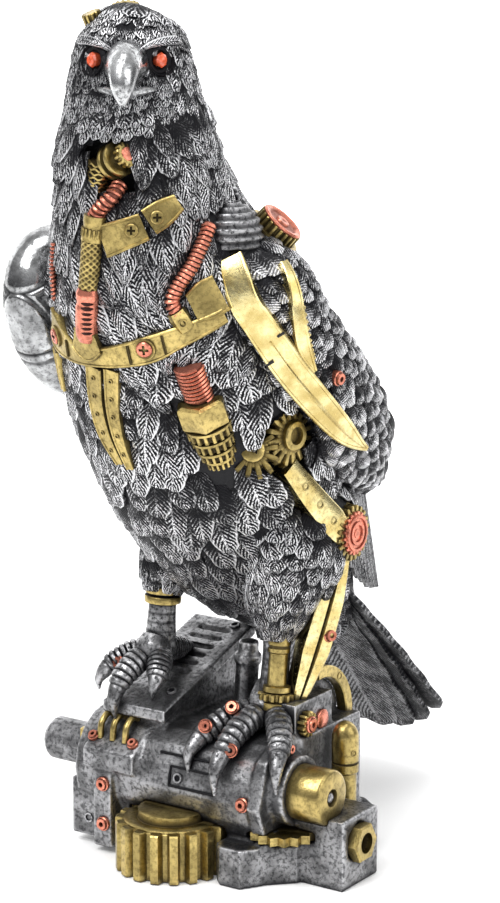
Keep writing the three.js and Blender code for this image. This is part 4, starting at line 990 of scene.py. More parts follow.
def make_feet():
    for name, foot in FEET.items():
        start = x, y, z = foot["hub"]
        shank = rod([bird(*foot["ankle"]), bird(*start)], [6.2, 5.2, 4.9, 5.0, 5.2, 5.6, 5.8], 18, 36,
                    undercoat_and_shade=np.where(np.arange(37) % 4 == 3, 0.8, 0.1))
        toes = [scaled_toe([start, *toe]) for toe in foot["toes"]]
        knuckle = rod([bird(x, y - 2, z + 5), bird(x, y - 6, z - 2)], [5.2, 6.6, 5.2], 16, 10)
        make(f"foot_{name}", [shank, knuckle, *toes], "foot_silver")
    ankle, hub = (bird(*FEET["right"][part]) for part in ("ankle", "hub"))
    cuff = [turned([(5.4, low), (6.6, low), (6.8, low + 0.5), (6.6, low + 2.4), (5.4, low + 2.6)], 24).moved(
        aimed(ankle, hub - ankle)) for low in (2.0, 5.6, 9.2)]
    collar = placed(aimed(bird(25.5, -5.5, 8.5), (0, 0.12, 1)), cog(5.4, 6.6, 2.6, 14, low=3.2, chamfer=0.3),
                    turned([(6.2, 0), (6.4, 0.4), (6.2, 2.6), (5, 3)], 28),
                    turned([(4.6, 6), (5.0, 6.4), (4.9, 8.2), (4, 8.6)], 28))
    make("ankle_cuffs", cuff + collar, "brass")
    joints = [((-21.7, -11.4, 71.4), (0.3, -0.9, 0.3)), ((-33.7, -17.7, 66.4), (-0.2, -0.9, 0.3)),
              ((8.7, -24.4, 52), (0.3, -0.85, 0.35)), ((22.6, -29.2, 47), (0.4, -0.85, 0.3)),
              ((15, -17, 58), (0.3, -0.8, 0.5))]
    bolts = [ring_bolt(2.5, 1.9).moved(aimed(at, axis)) for at, axis in joints]
    make("toe_bolts", bolts, "copper")


def make_shell():
    """The polished shell over the bend of the right wing, with engraved double lines."""
    rows, columns = 120, 120
    ball, _ = ball_grid(rows, columns)
    y, z = ball[..., 1], ball[..., 2]
    frame_lines = np.maximum(np.abs(y), np.abs(z))
    cut = np.zeros(y.shape)
    for value, middle in ((z, -0.08), (z, 0.04), (frame_lines, 0.62), (frame_lines, 0.7)):
        cut = np.maximum(cut, np.exp(-(((value - middle) / 0.018) ** 2)))
    corners = ball * (1 - 0.035 * cut)[..., None] * np.array([16.5, 25, 34])
    lean = math.radians(34)
    spin = np.array([[1, 0, 0], [0, math.cos(lean), -math.sin(lean)], [0, math.sin(lean), math.cos(lean)]])
    corners = corners.reshape(-1, 3) @ spin.T + bird(-51, -24, 145.5)
    shell = Patch(corners, grid_faces(rows, columns, wrap=True), undercoat_and_shade=cut.reshape(-1))
    make("wing_shell", shell, "shell", crease=0)


def make_shoulder():
    """The ribbed round of the left shoulder."""
    rows, columns = 60, 48
    ball, tall = ball_grid(rows, columns)
    rib = np.repeat(0.5 + 0.5 * np.cos(tall * 26), columns, axis=1)
    dome = Patch(ball * (12.2 - 1.1 * rib)[..., None] + SHOULDER, grid_faces(rows, columns, wrap=True),
                 undercoat_and_shade=(0.85 * rib).reshape(-1))
    boss = turned([(8.5, -22), (8.5, -1.8), (7, -1.5)], 20, undercoat_and_shade=0.5).moved(COG_PLACE)
    make("shoulder_round", [dome, boss], "foot_silver", crease=0)


# Fittings


def make_coils(settings):
    pitch = settings.coil_pitch / MM
    breast = TRUNK.path((67, 68, 2.2), (70.5, 62, 2.6), (76, 52, 2.6), (80.5, 42, 2.6), (84, 37.5, 2.6),
                        (88, 38.5, 2.4))
    make("breast_spring", spring(breast, 2.6, 0.62, pitch), "copper", replaces="breast_coil")
    throat = TRUNK.path((50, 4, -2), (53, 2, 1.6), (56.5, -4, 2.4), (59.5, -7.5, 1.4))
    make("throat_spring", spring(throat, 2.8, 0.66, 1.1 * pitch), "copper", replaces="throat_coil")
    flank = TRUNK.path((70, -44, 1.8), (79, -43, 2), (88, -40, 1.8))
    make("flank_spring", spring(flank, 1.3, 0.45, pitch), "copper", replaces="flank_coil")
    axis = unit(PLUG_TO - PLUG_FROM)
    thigh = [PLUG_FROM, PLUG_FROM + axis * 6.5, PLUG_FROM + axis * 13]
    make("thigh_spring", spring(thigh, 5.2, 0.6, pitch, per_turn=28), "copper", replaces="thigh_coil")


def make_hose():
    ferrule_path = TRUNK.path((59, -7, 1.6), (66, -5.5, 1.8))
    collar = rod(ferrule_path, [3.9, 3.9, 3.5, 3.9, 3.9], 24, 12)
    middle, across, up, _ = swept(ferrule_path, 12)
    knurls = [rod([middle[6] + d * 3.7, middle[10] + d * 3.7], [0.5, 0.5], 5, 2)
              for d in (math.cos(a) * across[6] + math.sin(a) * up[6] for a in round_angles(16))]
    path = TRUNK.path((65, -6, 1.8), (71, -5.5, 1.8), (78.5, -7, 1.8))
    steps, sides = 90, 60
    middle, across, up, length = swept(path, steps)
    share = np.arange(steps + 1)[:, None] / steps * length
    angle = round_angles(sides)[None, :]
    weave = np.maximum(np.sin(9 * angle + share * 3.1), np.sin(9 * angle - share * 3.1))
    radius = 3.3 + 0.28 * weave
    rings = (middle[:, None] + radius[..., None] * (np.cos(angle)[..., None] * across[:, None]
             + np.sin(angle)[..., None] * up[:, None]))
    braid = loft(rings)
    braid.undercoat_and_shade = np.clip(0.75 - 0.9 * weave.reshape(-1), 0, 0.9)
    make("hose_braid", [collar, *knurls, braid], "brass", replaces="braided_hose")
    capsule_path = TRUNK.path((78.6, -7, 2), (86, -8.5, 2), (95, -10.5, 2))
    shell = rod(capsule_path, [3.4, 4.1, 4.1, 3.7, 4.1, 4.1, 4.1, 4.1, 4.1, 4.1, 3.9, 3.2], 28, 44)
    middle, across, up, _ = swept(capsule_path, 44)
    slots = [rod([middle[k] + (math.cos(a) * across[k] + math.sin(a) * up[k]) * 3.75 for a in
                  np.linspace(0.2, 1.3, 5)], [0.3, 0.7, 0.7, 0.3], 6, 10, undercoat_and_shade=1.0) for k in range(10, 38, 4)]
    make("capsule_shell", [shell, *slots], "copper", replaces="hose_capsule")


def screws_on(spots, radius, rise, lift, coat=0):
    """Cross screws on the trunk at (travel, angle) spots."""
    return [cross_head(radius, rise, coat).moved(TRUNK.place(*spot, lift)) for spot in spots]


def make_straps(settings):
    rise = settings.plate_rise / MM
    plates = {
        "neck_plate_right": ([(66, 2, 5.6), (64.5, 14, 5), (63, 26, 4.6)], [(63.5, 19)]),
        "neck_plate_left": ([(62, 28.5, 4.6), (60, 37, 4.4), (58, 46, 3)], [(61, 33)])}
    for name, (path, spots) in plates.items():
        parts = [band(TRUNK, path, rise, steps=24), *screws_on(spots, 2.2, 0.8, rise)]
        make(f"{name}_strap", parts, "brass", replaces=name)
    chest = band(TRUNK, [(97, -44, 8), (98.5, -37, 7.4), (101, -22, 4), (100.5, -8, 3.4), (99, 6, 4),
                         (97, 22, 4.6), (94.5, 38, 3.6), (92.5, 60, 2.6)], rise, steps=110)
    bracket = band(TRUNK, [(95, -18, 4.6), (96.4, -11, 6), (95.4, -3, 3.4)], rise + 0.7, steps=12)
    joints = [band(TRUNK, [(t - 2.8, a, 0.4), (t + 2.8, a, 0.4)], rise + 0.3, steps=6, rim=0.05, edge=0.1)
              for t, a in ((98.3, 12), (96.0, 29), (100.4, -26))]
    for joint in joints:
        joint.undercoat_and_shade[:] = 0.85
    screwed = [(99, -37), (96.5, 20)]
    heads = screws_on(screwed, 2.7, 1.0, rise, coat=1)
    washers = [turned([(3.7, -1), (3.7, 0.35), (3.3, 0.5), (2.9, 0.3)], 24).moved(TRUNK.place(*spot, rise))
               for spot in screwed]
    make("chest_strap", [chest, bracket, *joints, *washers, *heads], "brass", "copper", replaces="chest_band")
    plate = band(TRUNK, [(87.5, 46, 5), (86.6, 54, 6.6), (86, 62, 6.4)], rise, steps=24)
    make("breast_panel", plate, "brass", replaces="breast_plate")
    fitting = rod(TRUNK.path((87, 38, 2), (93, 41, 1.4)), [3.1, 3.4, 3.4, 3.0], 8, 8)
    hole = eyelet(1.0).moved(TRUNK.place(90.5, 40, 4.9))
    make("coil_end", [fitting, hole], "brass", replaces="coil_fitting")
    straps = {
        "belly_strap_outer": [(104, -9.5, 3.5), (117, -12.5, 3.3), (129, -12, 3), (139, -7.5, 1.8)],
        "belly_strap_inner": [(104, 0.5, 3), (117, -3, 2.8), (129, -4, 2.4), (140, -2.4, 1.6)]}
    for name, path in straps.items():
        places = [catmull(np.array(path, float), share) for share in np.linspace(0.1, 0.85, 5)]
        holes = [eyelet(0.55).moved(TRUNK.place(t, a, rise - 0.2)) for t, a, _ in places]
        make(f"{name}_riveted", [band(TRUNK, path, rise), *holes], "brass", replaces=name)


def make_blades(settings):
    rise = settings.plate_rise / MM
    flank = band(TRUNK, [(107, -46, 3.2), (114, -45.4, 3), (122, -43, 2.2)], rise, steps=20)
    make("flank_plate", flank, "brass", replaces="flank_strap")
    path = np.array([(5, 30, 4.6), (17, 15, 5.2), (27, 20, 5.5), (38, 29, 5.6), (57, 42, 5.3), (78, 54, 4.2),
                     (95, 65, 1)], float)
    blade = band(LEFT_WING, path, rise, steps=90, rim=0.7)
    ridge_path = [LEFT_WING.over(t, a, rise - 0.2) for t, a, _ in (catmull(path, s) for s in
                                                              np.linspace(0.42, 0.97, 12))]
    ridge = rod(ridge_path, [0.4, 0.75, 0.4], 6, 30)
    slot = []
    for share, inner, outer in ((0.42, -1.0, -0.55), (0.49, 0.5, 1.0)):
        (t, a, half), ahead = catmull(path, share), catmull(path, share + 0.02)
        top = LEFT_WING.over(t, a, rise - 0.1)
        up = LEFT_WING.normal(t, math.radians(a))
        along = unit(LEFT_WING.over(ahead[0], ahead[1], rise) - top)
        across = unit(np.cross(along, up))
        slot.append(rod([top + across * half * side + along * 0.8 * side for side in (inner, outer)],
                        [0.6, 0.45], 8, 4, coat=1))
    hole = turned([(1.0, -0.4), (1.0, 0.12), (0.02, 0.1)], 12, coat=1)
    hole.moved(LEFT_WING.place(9, 38, rise - 0.3))
    make("blade", [blade, ridge, *slot, hole], "pale_brass", "body_black", replaces="wing_blade")
    rear = np.array([(14, 96, 1.6), (25, 70, 2.4), (38, 57, 2.4), (47, 56, 1)], float)
    body = band(LEFT_WING, rear, 3.7, steps=44, rim=0.5)
    degrees_a_mm = 4.4
    rim = (catmull(rear, share) for share in np.linspace(0.1, 0.9, 16))
    teeth = [turned([(0.9, -1.5), (0.9, 0.1), (0.3, 0.5)], 4).moved(
        LEFT_WING.place(t - 1.2, a + 0.95 * half * degrees_a_mm, 3.0)) for t, a, half in rim]
    make("blade_rear", [body, *teeth], "pale_brass", replaces="wing_blade_rear")
    stud = ring_bolt(2.6, 2.2).moved(LEFT_WING.place(58, 78, 1.6))
    make("stud", stud, "copper", replaces="wing_stud")


def toothed_cone(outline, *levels):
    """A toothed body along +Z from (scale of its outline, height, share of black)."""
    plan = np.array(outline)
    rings = [np.hstack([plan * scale, np.full((len(plan), 1), height)]) for scale, height, _ in levels]
    return loft(rings, undercoat_and_shade=[undercoat_and_shade for _, _, undercoat_and_shade in levels])


def make_shoulder_gears():
    wheel = cog(10.2, 12, 3.4, 18, low=-2, chamfer=0.3)
    axle = turned([(6, -9), (6, -1)], 20)
    make("shoulder_wheel", placed(COG_PLACE, wheel, axle), "blackened", replaces="shoulder_cog")
    low = 2.0
    ring = turned([(7.6, low), (9.6, low), (9.7, low + 0.5), (9.6, low + 1), (7.6, low + 1)], 40)
    hub = cog(6.9, 8.1, 4.2, 22, low=low + 0.6, chamfer=0.25)
    rim = turned([(6.2, low + 4.6), (7.6, low + 4.7), (7.9, low + 5.3), (7.2, low + 5.8), (5.9, low + 5.6),
                  (5.2, low + 5.0, 0.5), (2.6, low + 5.0, 0.5), (2.3, low + 5.7), (1.2, low + 5.8),
                  (0.02, low + 5.3, 0.5)], 40, coat=1)
    stem = turned([(3, low - 4), (3, low + 1)], 16)
    make("shoulder_drum", placed(COG_PLACE, ring, hub, rim, stem), "brass", "copper", replaces="shoulder_hub")


def make_hip_gears():
    bevel = toothed_cone(cog_outline(7.4, 11.6, 16), (0.5, 0.0, 1), (0.8, 0.0, 0.8), (0.82, 0.3, 0.6),
                         (1.0, 4.8, 0), (0.99, 5.8, 0), (0.9, 7.2, 0), (0.6, 7.6, 0.4))
    boss = turned([(5.2, 5), (5.2, 9.2), (4.8, 9.6), (3.1, 9.6), (2.9, 6, 1), (0.02, 6, 1)])
    stem = turned([(4.4, -6), (4.4, 1)], 16)
    make("bevel_wheel", placed(BEVEL_PLACE, bevel, boss, stem), "brass", replaces="bevel_gear")
    small = toothed_cone(cog_outline(6.0, 9.4, 13), (0.7, 0.0, 0), (0.95, 0.2, 0), (1.0, 1.2, 0),
                         (1.0, 3.4, 0), (0.72, 4.2, 1), (0.72, 4.8, 1), (0.95, 5.4, 0), (0.9, 7.6, 0),
                         (0.5, 8.2, 0.5))
    stem = turned([(4, -6), (4, 9.6), (3.4, 10)], 16)
    make("pinion_wheel", placed(PINION_PLACE, small, stem), "brass", replaces="pinion")


def make_knee_drum():
    back = turned([(10.2, -3), (10.2, 0.6), (9.6, 1.2), (6, 1.2)], 40)
    drum = cog(7.8, 9.8, 3.8, 20, low=1.2, chamfer=0.3)
    cap = cog(6.8, 7.7, 1.4, 20, low=4.6, chamfer=0.3, coat=1)
    rings_cap = turned([(6.6, 5.4), (6.4, 6.5), (5.5, 6.6), (5.2, 5.4, 0.9), (4.3, 5.4, 0.9), (4.1, 6.6),
                        (3.0, 6.6), (2.7, 5.2, 0.9), (1.8, 5.2, 0.9), (1.6, 6.2), (0.02, 6.3, 0.2)], 40,
                       coat=1)
    stem = turned([(4, -14), (4, 1)], 16)
    make("knee_drum", placed(KNEE_PLACE, back, drum, cap, rings_cap, stem), "brass", "copper",
         replaces="knee_wheel")


def plug_frame(low):
    """The frame that many millimetres along the hip's plug."""
    return aimed(PLUG_FROM + unit(PLUG_TO - PLUG_FROM) * low, PLUG_TO - PLUG_FROM)


def make_plug():
    radius = 15.6 / math.sqrt(3)
    nut = turned([(radius * 0.8, 0), (radius * 0.97, 0.5), (radius, 1.2), (radius, 8.2), (radius * 0.97, 8.9),
                  (radius * 0.8, 9.4)], 6)
    make("plug_nut", nut.moved(plug_frame(13.3)), "brass", replaces="thigh_nut", crease=20)
    low, stages = 0.0, []
    for radius, length in ((8.3, 4.8), (7.7, 4.6), (7.0, 4.2), (5.6, 4.0)):
        slots = outlined(cog_outline(radius - 1.3, radius - 0.2, 18, land=0.36), low + 0.9,
                         low + length - 0.7, 0.15)
        reach = np.linalg.norm(slots.corners[:, :2], axis=1)
        slots.undercoat_and_shade = np.clip((radius - 0.5 - reach) / 0.6, 0, 0.95)
        stages += [slots, turned([(radius - 2, low), (radius, low), (radius + 0.1, low + 0.4),
                                  (radius, low + 0.9), (radius - 2, low + 1.1)], 40)]
        low += length
    make("plug_bearing", placed(plug_frame(23.0), *stages), "brass", replaces="thigh_bearing")


def beam_of(points, half, thick, facing, steps=40, groove=0.0):
    """A flat bar along points with broken edges and a groove down its face."""
    middle, _, _, _ = swept([bird(*p) for p in points], steps)
    along = unit(np.gradient(middle, axis=0))
    side = unit(np.cross(along, np.array(facing, float)))
    up = unit(np.cross(side, along))
    wide = np.interp(np.linspace(0, 1, steps + 1), np.linspace(0, 1, len(half)), half)[:, None]
    t = thick / 2
    profile = [(-1, 0, -t), (1, 0, -t), (1, 0, t - 0.5), (1, -0.6, t), (0.16, 0, t), (0, 0, t - groove),
               (-0.16, 0, t), (-1, 0.6, t), (-1, 0, t - 0.5)]
    rings = np.stack([middle + side * (share * wide + off) + up * out for share, off, out in profile], axis=1)
    return loft(rings)


def make_struts():
    facing = np.array([1, -0.35, 0.1])
    upper = beam_of(STRUT_PATH, [3.6, 4.6, 5.2, 3.4], 9.0, facing)
    along = [catmull(np.array(STRUT_PATH, float), s) for s in (0.22, 0.42, 0.6)]
    holes = [eyelet(1.0).moved(aimed(bird(*p) + unit(facing) * 4.5, facing)) for p in along]
    make("upper_strut", [upper, *holes], "bright_brass", replaces="thigh_strut")
    lower = beam_of([(x + 1.4, y - 1.4, z) for x, y, z in SHIN_PATH], [3.0, 4.8, 5.0, 2.4], 9.4,
                    (1, -0.7, 0.2), groove=1.6)
    bolt = ring_bolt(2.6, 2.4, coat=1).moved(aimed(bird(40, 6, 35), (0.9, -0.35, 0.1)))
    make("lower_strut", [lower, bolt], "bright_brass", "copper", replaces="shin_strut")
    leg = turned([(3.2, 0), (3.4, 1), (3.4, 16.5), (3.9, 17), (4.0, 18.3), (3.6, 18.6, 0.9), (3.6, 19.2, 0.9),
                  (4.0, 19.6), (4.0, 24), (3.4, 25.6), (0.02, 26)])
    eye = eyelet(0.8).moved(aimed((4.0 * 0.56, -4.0 * 0.83, 22.4), (0.56, -0.83, 0)))
    place = aimed(bird(25.5, -5.5, 12), (0, 0.12, 1))
    make("clevis_rod", placed(place, leg, eye), "brass", replaces="leg_rod")


def make_throat():
    stack_at = aimed(TRUNK.over(49, -17, -3.2), (0.25, -0.1, 1))
    rings = []
    for k in range(9):
        height = -5.6 + 1.4 * k
        sides = 40
        angle = round_angles(sides)
        wave = 0.35 * np.sin(8 * angle + k * math.pi)
        circle = [np.stack([r * np.cos(angle), r * np.sin(angle), height + wave + dz], axis=1)
                  for r, dz in ((3.2, -0.3), (4.0, -0.3), (4.0, 0.3), (3.2, 0.3))]
        rings.append(loft(circle, caps=False))
    core = turned([(3.3, -6), (3.3, 6)], 16, undercoat_and_shade=1.0)
    spindle = aimed(TRUNK.over(44, -8, -3.6), (0.8, -0.2, 0.35))
    wheels = []
    for k in range(2):
        low = 3.4 * k
        wheels.append(turned([(3, low), (5.8, low), (6, low + 0.4), (6, low + 1.2), (5.8, low + 1.6),
                              (3, low + 1.6)], 32))
    axle = turned([(1.6, -6), (1.6, 6.9)], 10)
    gear = cog(3.2, 4.1, 2.2, 12, low=6.8, chamfer=0.2)
    cap = turned([(2.4, 8.9), (2.2, 9.3), (0.02, 9.4)], 16, coat=1)
    parts = placed(stack_at, *rings, core) + placed(spindle, *wheels, axle, gear, cap)
    make("throat_works", parts, "brass", "copper", replaces="neck_gearbox")


def make_crown():
    barrel = cog(2.4, 3.2, 5.4, 11, chamfer=0.25).moved(aimed(CROWN_PLACES[0], (-0.2, -0.4, 1)))
    ring = cog(4.0, 4.8, 2.8, 14, bore=2.4, chamfer=0.25).moved(aimed(CROWN_PLACES[1], (0.15, -0.35, 1)))
    stud = ring_bolt(1.7, 1.6).moved(aimed(bird(-3.4, -59.5, 249), (0.1, -0.7, 0.8)))
    make("crown_stud", stud, "copper")
    make("crown_barrel", barrel, "brass", replaces="crown_gear")
    make("crown_wheel", ring, "brass", replaces="crown_ring")


# The machine


def on_barrel(x, turn_by, lift=0.0):
    """A point on the front of the barrel, turn_by degrees above its middle height."""
    turn_by = math.radians(turn_by)
    return np.array([x, -12 - (20 + lift) * math.cos(turn_by), 29 + (20 + lift) * math.sin(turn_by)])


def block(low, high, edge=0.5):
    """A plate with broken edges between two corners."""
    low, high = np.array(low, float), np.array(high, float)
    rings = []
    for height, inset in ((low[2], edge), (low[2] + edge, 0), (high[2] - edge, 0), (high[2], edge)):
        (x0, y0), (x1, y1) = low[:2] + inset, high[:2] - inset
        rings.append([(x0 + edge, y0, height), (x1 - edge, y0, height), (x1, y0 + edge, height),
                      (x1, y1 - edge, height), (x1 - edge, y1, height), (x0 + edge, y1, height),
                      (x0, y1 - edge, height), (x0, y0 + edge, height)])
    return loft(rings)


def extent(name):
    """A solid's two corners in millimetres."""
    return [np.array(corner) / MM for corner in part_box(name)]


def make_machine(settings):
    radius = settings.bolt_radius / MM
    base = repaint("machine_base", "silver")
    soften = base.modifiers.new("Cast skin", "REMESH")
    soften.mode, soften.voxel_size, soften.use_smooth_shade = "VOXEL", 0.75 * MM, True
    round_off = base.modifiers.new("Soft edges", "SMOOTH")
    round_off.factor, round_off.iterations = 0.5, 2
    bolts = [((29.6, -32.2, 29.4), (0, -1, 0.16)), ((-29.6, -33.6, 26.0), (0, -1, 0)),
             ((-29.6, -33.6, 11.1), (0, -1, 0)), ((-19.6, -29.0, 41.2), (0, -0.61, 0.79)),
             ((-37.0, -29.0, 41.2), (0, -0.61, 0.79)), ((37.2, -15.0, 46.5), (1, 0, 0)),
             ((-35, -15.5, 66), (0.3, -0.9, 0.3)), ((8.7, -24, 52), (0.5, -0.8, 0.3)),
             ((18, -27, 46), (0.5, -0.8, 0.3))]
    heads = [ring_bolt(radius * (1 if k < 3 else 0.8), 1.8).moved(aimed(at, axis))
             for k, (at, axis) in enumerate(bolts)]
    make("machine_bolts", heads, "copper")
    loops = [rod([(x, -28.6, 41.0), (x, -27.5, 46.6), (x, -23, 49.2), (x, -19.5, 46.4), (x, -19, 43)],
                 [1.2, 1.2], 12, 24) for x in (-34.5, -29, -23.5)]
    make("spring_loops", loops, "brass")
    holes = [eyelet(1.2, 0.3).moved(aimed(at, axis)) for at, axis in (
        ((-39.8, -29.2, 9.9), (0, -1, 0)), ((37.4, -22.9, 17.2), (1, 0, 0)),
        ((-13.6, -13.7, 58.4), (0, -0.31, 0.95)), ((-15.6, 29.2, 72.4), (0, -0.31, 0.95)),
        (on_barrel(1.5, 13), on_barrel(1.5, 13, 1) - on_barrel(1.5, 13)))]
    grooves = [rod([on_barrel(x, turn_by, 0.05) for x, turn_by in line], [0.42, 0.42], 6, 16, undercoat_and_shade=1.0)
               for line in (((-2, 24), (7, 24), (17, 24)), ((-2, 4), (7, 4), (17, 4)),
                            ((-2, 4), (-2, 14), (-2, 24)), ((17, 4), (17, 14), (17, 24)),
                            ((-8, 36), (3, 36), (14, 36)))]
    make("machine_marks", holes + grooves, "silver")
    small = cog(3.4, 4.6, 3.0, 12, low=0, chamfer=0.25).moved(aimed((35.8, -3.3, 52.4), (1, 0, 0)))
    cap = ring_bolt(3.0, 1.4, coat=1).moved(aimed((38.8, -3.3, 52.4), (1, 0, 0)))
    disc = turned([(3.6, -0.5), (3.6, 0.8), (3.2, 1.1), (0.02, 1.1)], 24, coat=1)
    disc.moved(aimed((36.0, 8, 51), (1, 0, 0)))
    make("housing_gear", [small, cap, disc], "brass", "copper")
    steps = [block((-46, -26, 33), (-42, -13, 42)), block((-45, -24, 25), (-41, -15, 34)),
             block((-45.5, -12, 39), (-42, -2, 45))]
    make("side_plate", steps, "brass")


def make_motor_drum():
    low, high = extent("motor_cap")
    middle, radius, long = (low + high) / 2, (high[2] - low[2]) / 2, high[0] - low[0]
    cap = turned([(radius * 0.96, 0, 0.4), (radius, 0.6), (radius, long - 1.4), (radius - 0.5, long - 0.5),
                  (radius - 1.2, long - 0.2), (3.2, long - 0.2), (2.9, long - 1.8, 1),
                  (0.02, long - 1.8, 1)], 56)
    hub = turned([(1.9, long - 2), (1.7, long - 0.9), (1.0, long - 0.4), (0.02, long - 0.3)], 20, coat=1)
    place = aimed((low[0], middle[1], middle[2]), (1, 0, 0))
    make("motor_drum", placed(place, cap, hub), "brass", "silver", replaces="motor_cap")


def make_casing_hex():
    low, high = extent("casing_nut")
    middle, thick = (low + high) / 2, high[0] - low[0]
    sixth = TURN / 6
    angle = round_angles(72)
    across = min(high[1:] - low[1:]) / 2
    wide = across / np.cos((angle % sixth) - sixth / 2)
    ring = outlined(np.stack([wide * np.cos(angle), wide * np.sin(angle)], axis=1), 0, thick, 0.6, bore=3.7)
    well = turned([(3.8, thick - 0.7), (3.6, 0.8), (0.02, 0.8)], 24, caps=False, undercoat_and_shade=1.0)
    place = aimed((low[0], middle[1], middle[2]), (1, 0, 0))
    make("casing_hex", placed(place, ring, well), "brass", replaces="casing_nut")


def make_valve_dome():
    low, high = extent("bullet_valve")
    middle, radius, tall = (low + high) / 2, (high[0] - low[0]) / 2, high[2] - low[2]
    dome = radius + 1.5
    foot = tall - dome - 12
    profile = [(radius - 0.8, 0), (radius - 0.7, foot - 0.8), (radius, foot), (radius, foot + 2.8),
               (radius - 0.5, foot + 3.0, 1), (radius - 0.5, foot + 3.6, 1), (radius, foot + 3.8)]
    profile += [(radius * math.cos(a), tall - dome + dome * math.sin(a)) for a in np.linspace(0, 1.55, 12)]
    valve = turned(profile, 40)
    dots = [eyelet(0.8, 0.15).moved(aimed((radius * math.sin(a), -radius * math.cos(a), foot + 7.5),
                                          (math.sin(a), -math.cos(a), 0))) for a in (0.15, 1.25)]
    place = np.array(Matrix.Translation((middle[0], middle[1], low[2])))
    make("valve_dome", placed(place, valve, *dots), "brass", replaces="bullet_valve")


def make_arch_ring():
    low, high = extent("pipe_arch")
    centre = np.array([0, high[1] - 20.4, high[2] - 20.4])
    rings = []
    for a in np.radians(np.linspace(-20, 98, 49)):
        out = np.array([0, math.cos(a), math.sin(a)])
        rings.append([centre + out * r + (x, 0, 0) for r, x in (
            (16, low[0]), (20, low[0]), (20.4, low[0] + 0.4), (20.4, high[0] - 0.4), (20, high[0]),
            (16.4, high[0]), (16, high[0] - 0.4))])
    arch_hole = eyelet(1.0, 0.2).moved(aimed(centre + (high[0], 18.2 * math.cos(0.9), 18.2 * math.sin(0.9)),
                                             (1, 0, 0)))
    make("arch_ring", [loft(rings), arch_hole], "brass", replaces="pipe_arch")


def make_machine_brass():
    """The idler's edges and the brass bodies, ending with the large gear."""
    edge = repaint("idler_gear", "brass").modifiers.new("Broken edges", "BEVEL")
    edge.width, edge.segments, edge.limit_method = 0.35 * MM, 2, "ANGLE"
    edge.angle_limit = math.radians(35)
    make_motor_drum()
    make_casing_hex()
    make_valve_dome()
    make_arch_ring()
    gear = outlined(cog_outline(17.4, 20.2, 18, land=0.4), 0, 18, 0.5)
    boss = turned([(17.2, 17, 0.5), (17.2, 18.4), (16.6, 18.9), (13, 18.9), (12.4, 18.4, 0.8),
                   (12, 18.6, 0.8), (12, 21.6), (11.4, 22), (0.02, 22, 0.2)], 48)
    place = aimed((-2, -30, 0), (0, 0, 1))
    back = extent("base_gear")[1][1]
    parts = placed(place, gear, boss)
    for part in parts:
        part.corners[:, 1] = np.minimum(part.corners[:, 1], back)
    make("large_gear", parts, "brass", replaces="base_gear")


# Studio

# In metres and radians, round the figurine from its front and up from the floor
CAMERA_TURN = math.radians(34)
CAMERA_RISE = math.radians(12)
CAMERA_FAR = 0.9
CAMERA_TARGET = Vector((0.00754, 0.00509, 0.145))
LIT_MIDDLE = Vector((0.0, 0.0, 0.15))


def look_at(thing, target, turn_by, rise, far):
    """Set a lamp or a camera in the scene, far from a target and looking at it."""
    off = Vector((math.sin(turn_by) * math.cos(rise), -math.cos(turn_by) * math.cos(rise), math.sin(rise)))
    thing.location = target + off * far
    thing.rotation_euler = (-off).to_track_quat("-Z", "Y").to_euler()
    bpy.context.scene.collection.objects.link(thing)


def make_stage(settings):
    scene = bpy.context.scene
    half, tall, sweep_at, sweep = 3.0, 3.0, 1.2, 0.8
    profile = [(-half, 0.0), (sweep_at, 0.0)]
    profile += [(sweep_at + sweep * math.sin(a), sweep - sweep * math.cos(a))
                for a in np.linspace(0.1, math.pi / 2, 12)]
    profile += [(sweep_at + sweep, tall)]
    corners = [(x, y, z - 0.0002) for y, z in profile for x in (-half, half)]
    faces = [(2 * k, 2 * k + 1, 2 * k + 3, 2 * k + 2) for k in range(len(profile) - 1)]
    mesh = bpy.data.meshes.new("floor")
    mesh.from_pydata(corners, [], faces)
    mesh.polygons.foreach_set("use_smooth", [True] * len(mesh.polygons))
    mesh.materials.append(PAINTS["floor"])
    floor = bpy.data.objects.new("floor", mesh)
    floor.rotation_euler.z = CAMERA_TURN
    scene.collection.objects.link(floor)
    world = bpy.data.worlds.new("room")
    world.use_nodes = True
    sky = Nodes.on(world)
    height = sky.add("ShaderNodeSeparateXYZ")
    sky.feed(height.inputs[0], sky.add("ShaderNodeTexCoord").outputs["Generated"])
    sky.feed(sky.tree.nodes["Background"].inputs["Color"],
             sky.mix(sky.ramp(height.outputs[2], -0.1, 0.75), (0.16, 0.16, 0.17), (1.0, 1.0, 1.0)))
    sky.tree.nodes["Background"].inputs["Strength"].default_value = settings.sky
    scene.world = world
    for name, turn_by, rise, far, size, power in (
            ("key", CAMERA_TURN - 0.75, 0.9, 1.1, 0.7, settings.key),
            ("fill", CAMERA_TURN + 1.0, 0.45, 1.2, 0.9, settings.fill),
            ("top", CAMERA_TURN + 0.2, 1.45, 1.2, 0.6, settings.key * 0.6)):
        lamp = bpy.data.lights.new(name, "AREA")
        lamp.energy, lamp.size = power, size
        look_at(bpy.data.objects.new(name, lamp), LIT_MIDDLE, turn_by, rise, far)
    camera_data = bpy.data.cameras.new("camera")
    camera_data.lens, camera_data.sensor_width = settings.lens, 36
    camera = bpy.data.objects.new("camera", camera_data)
    look_at(camera, CAMERA_TARGET, CAMERA_TURN, CAMERA_RISE, CAMERA_FAR)
    scene.camera = camera
    scene.view_settings.view_transform = "Standard"


def scaled(colour, share):
    """A share of a colour's brightness."""
    return tuple(share * c for c in colour)


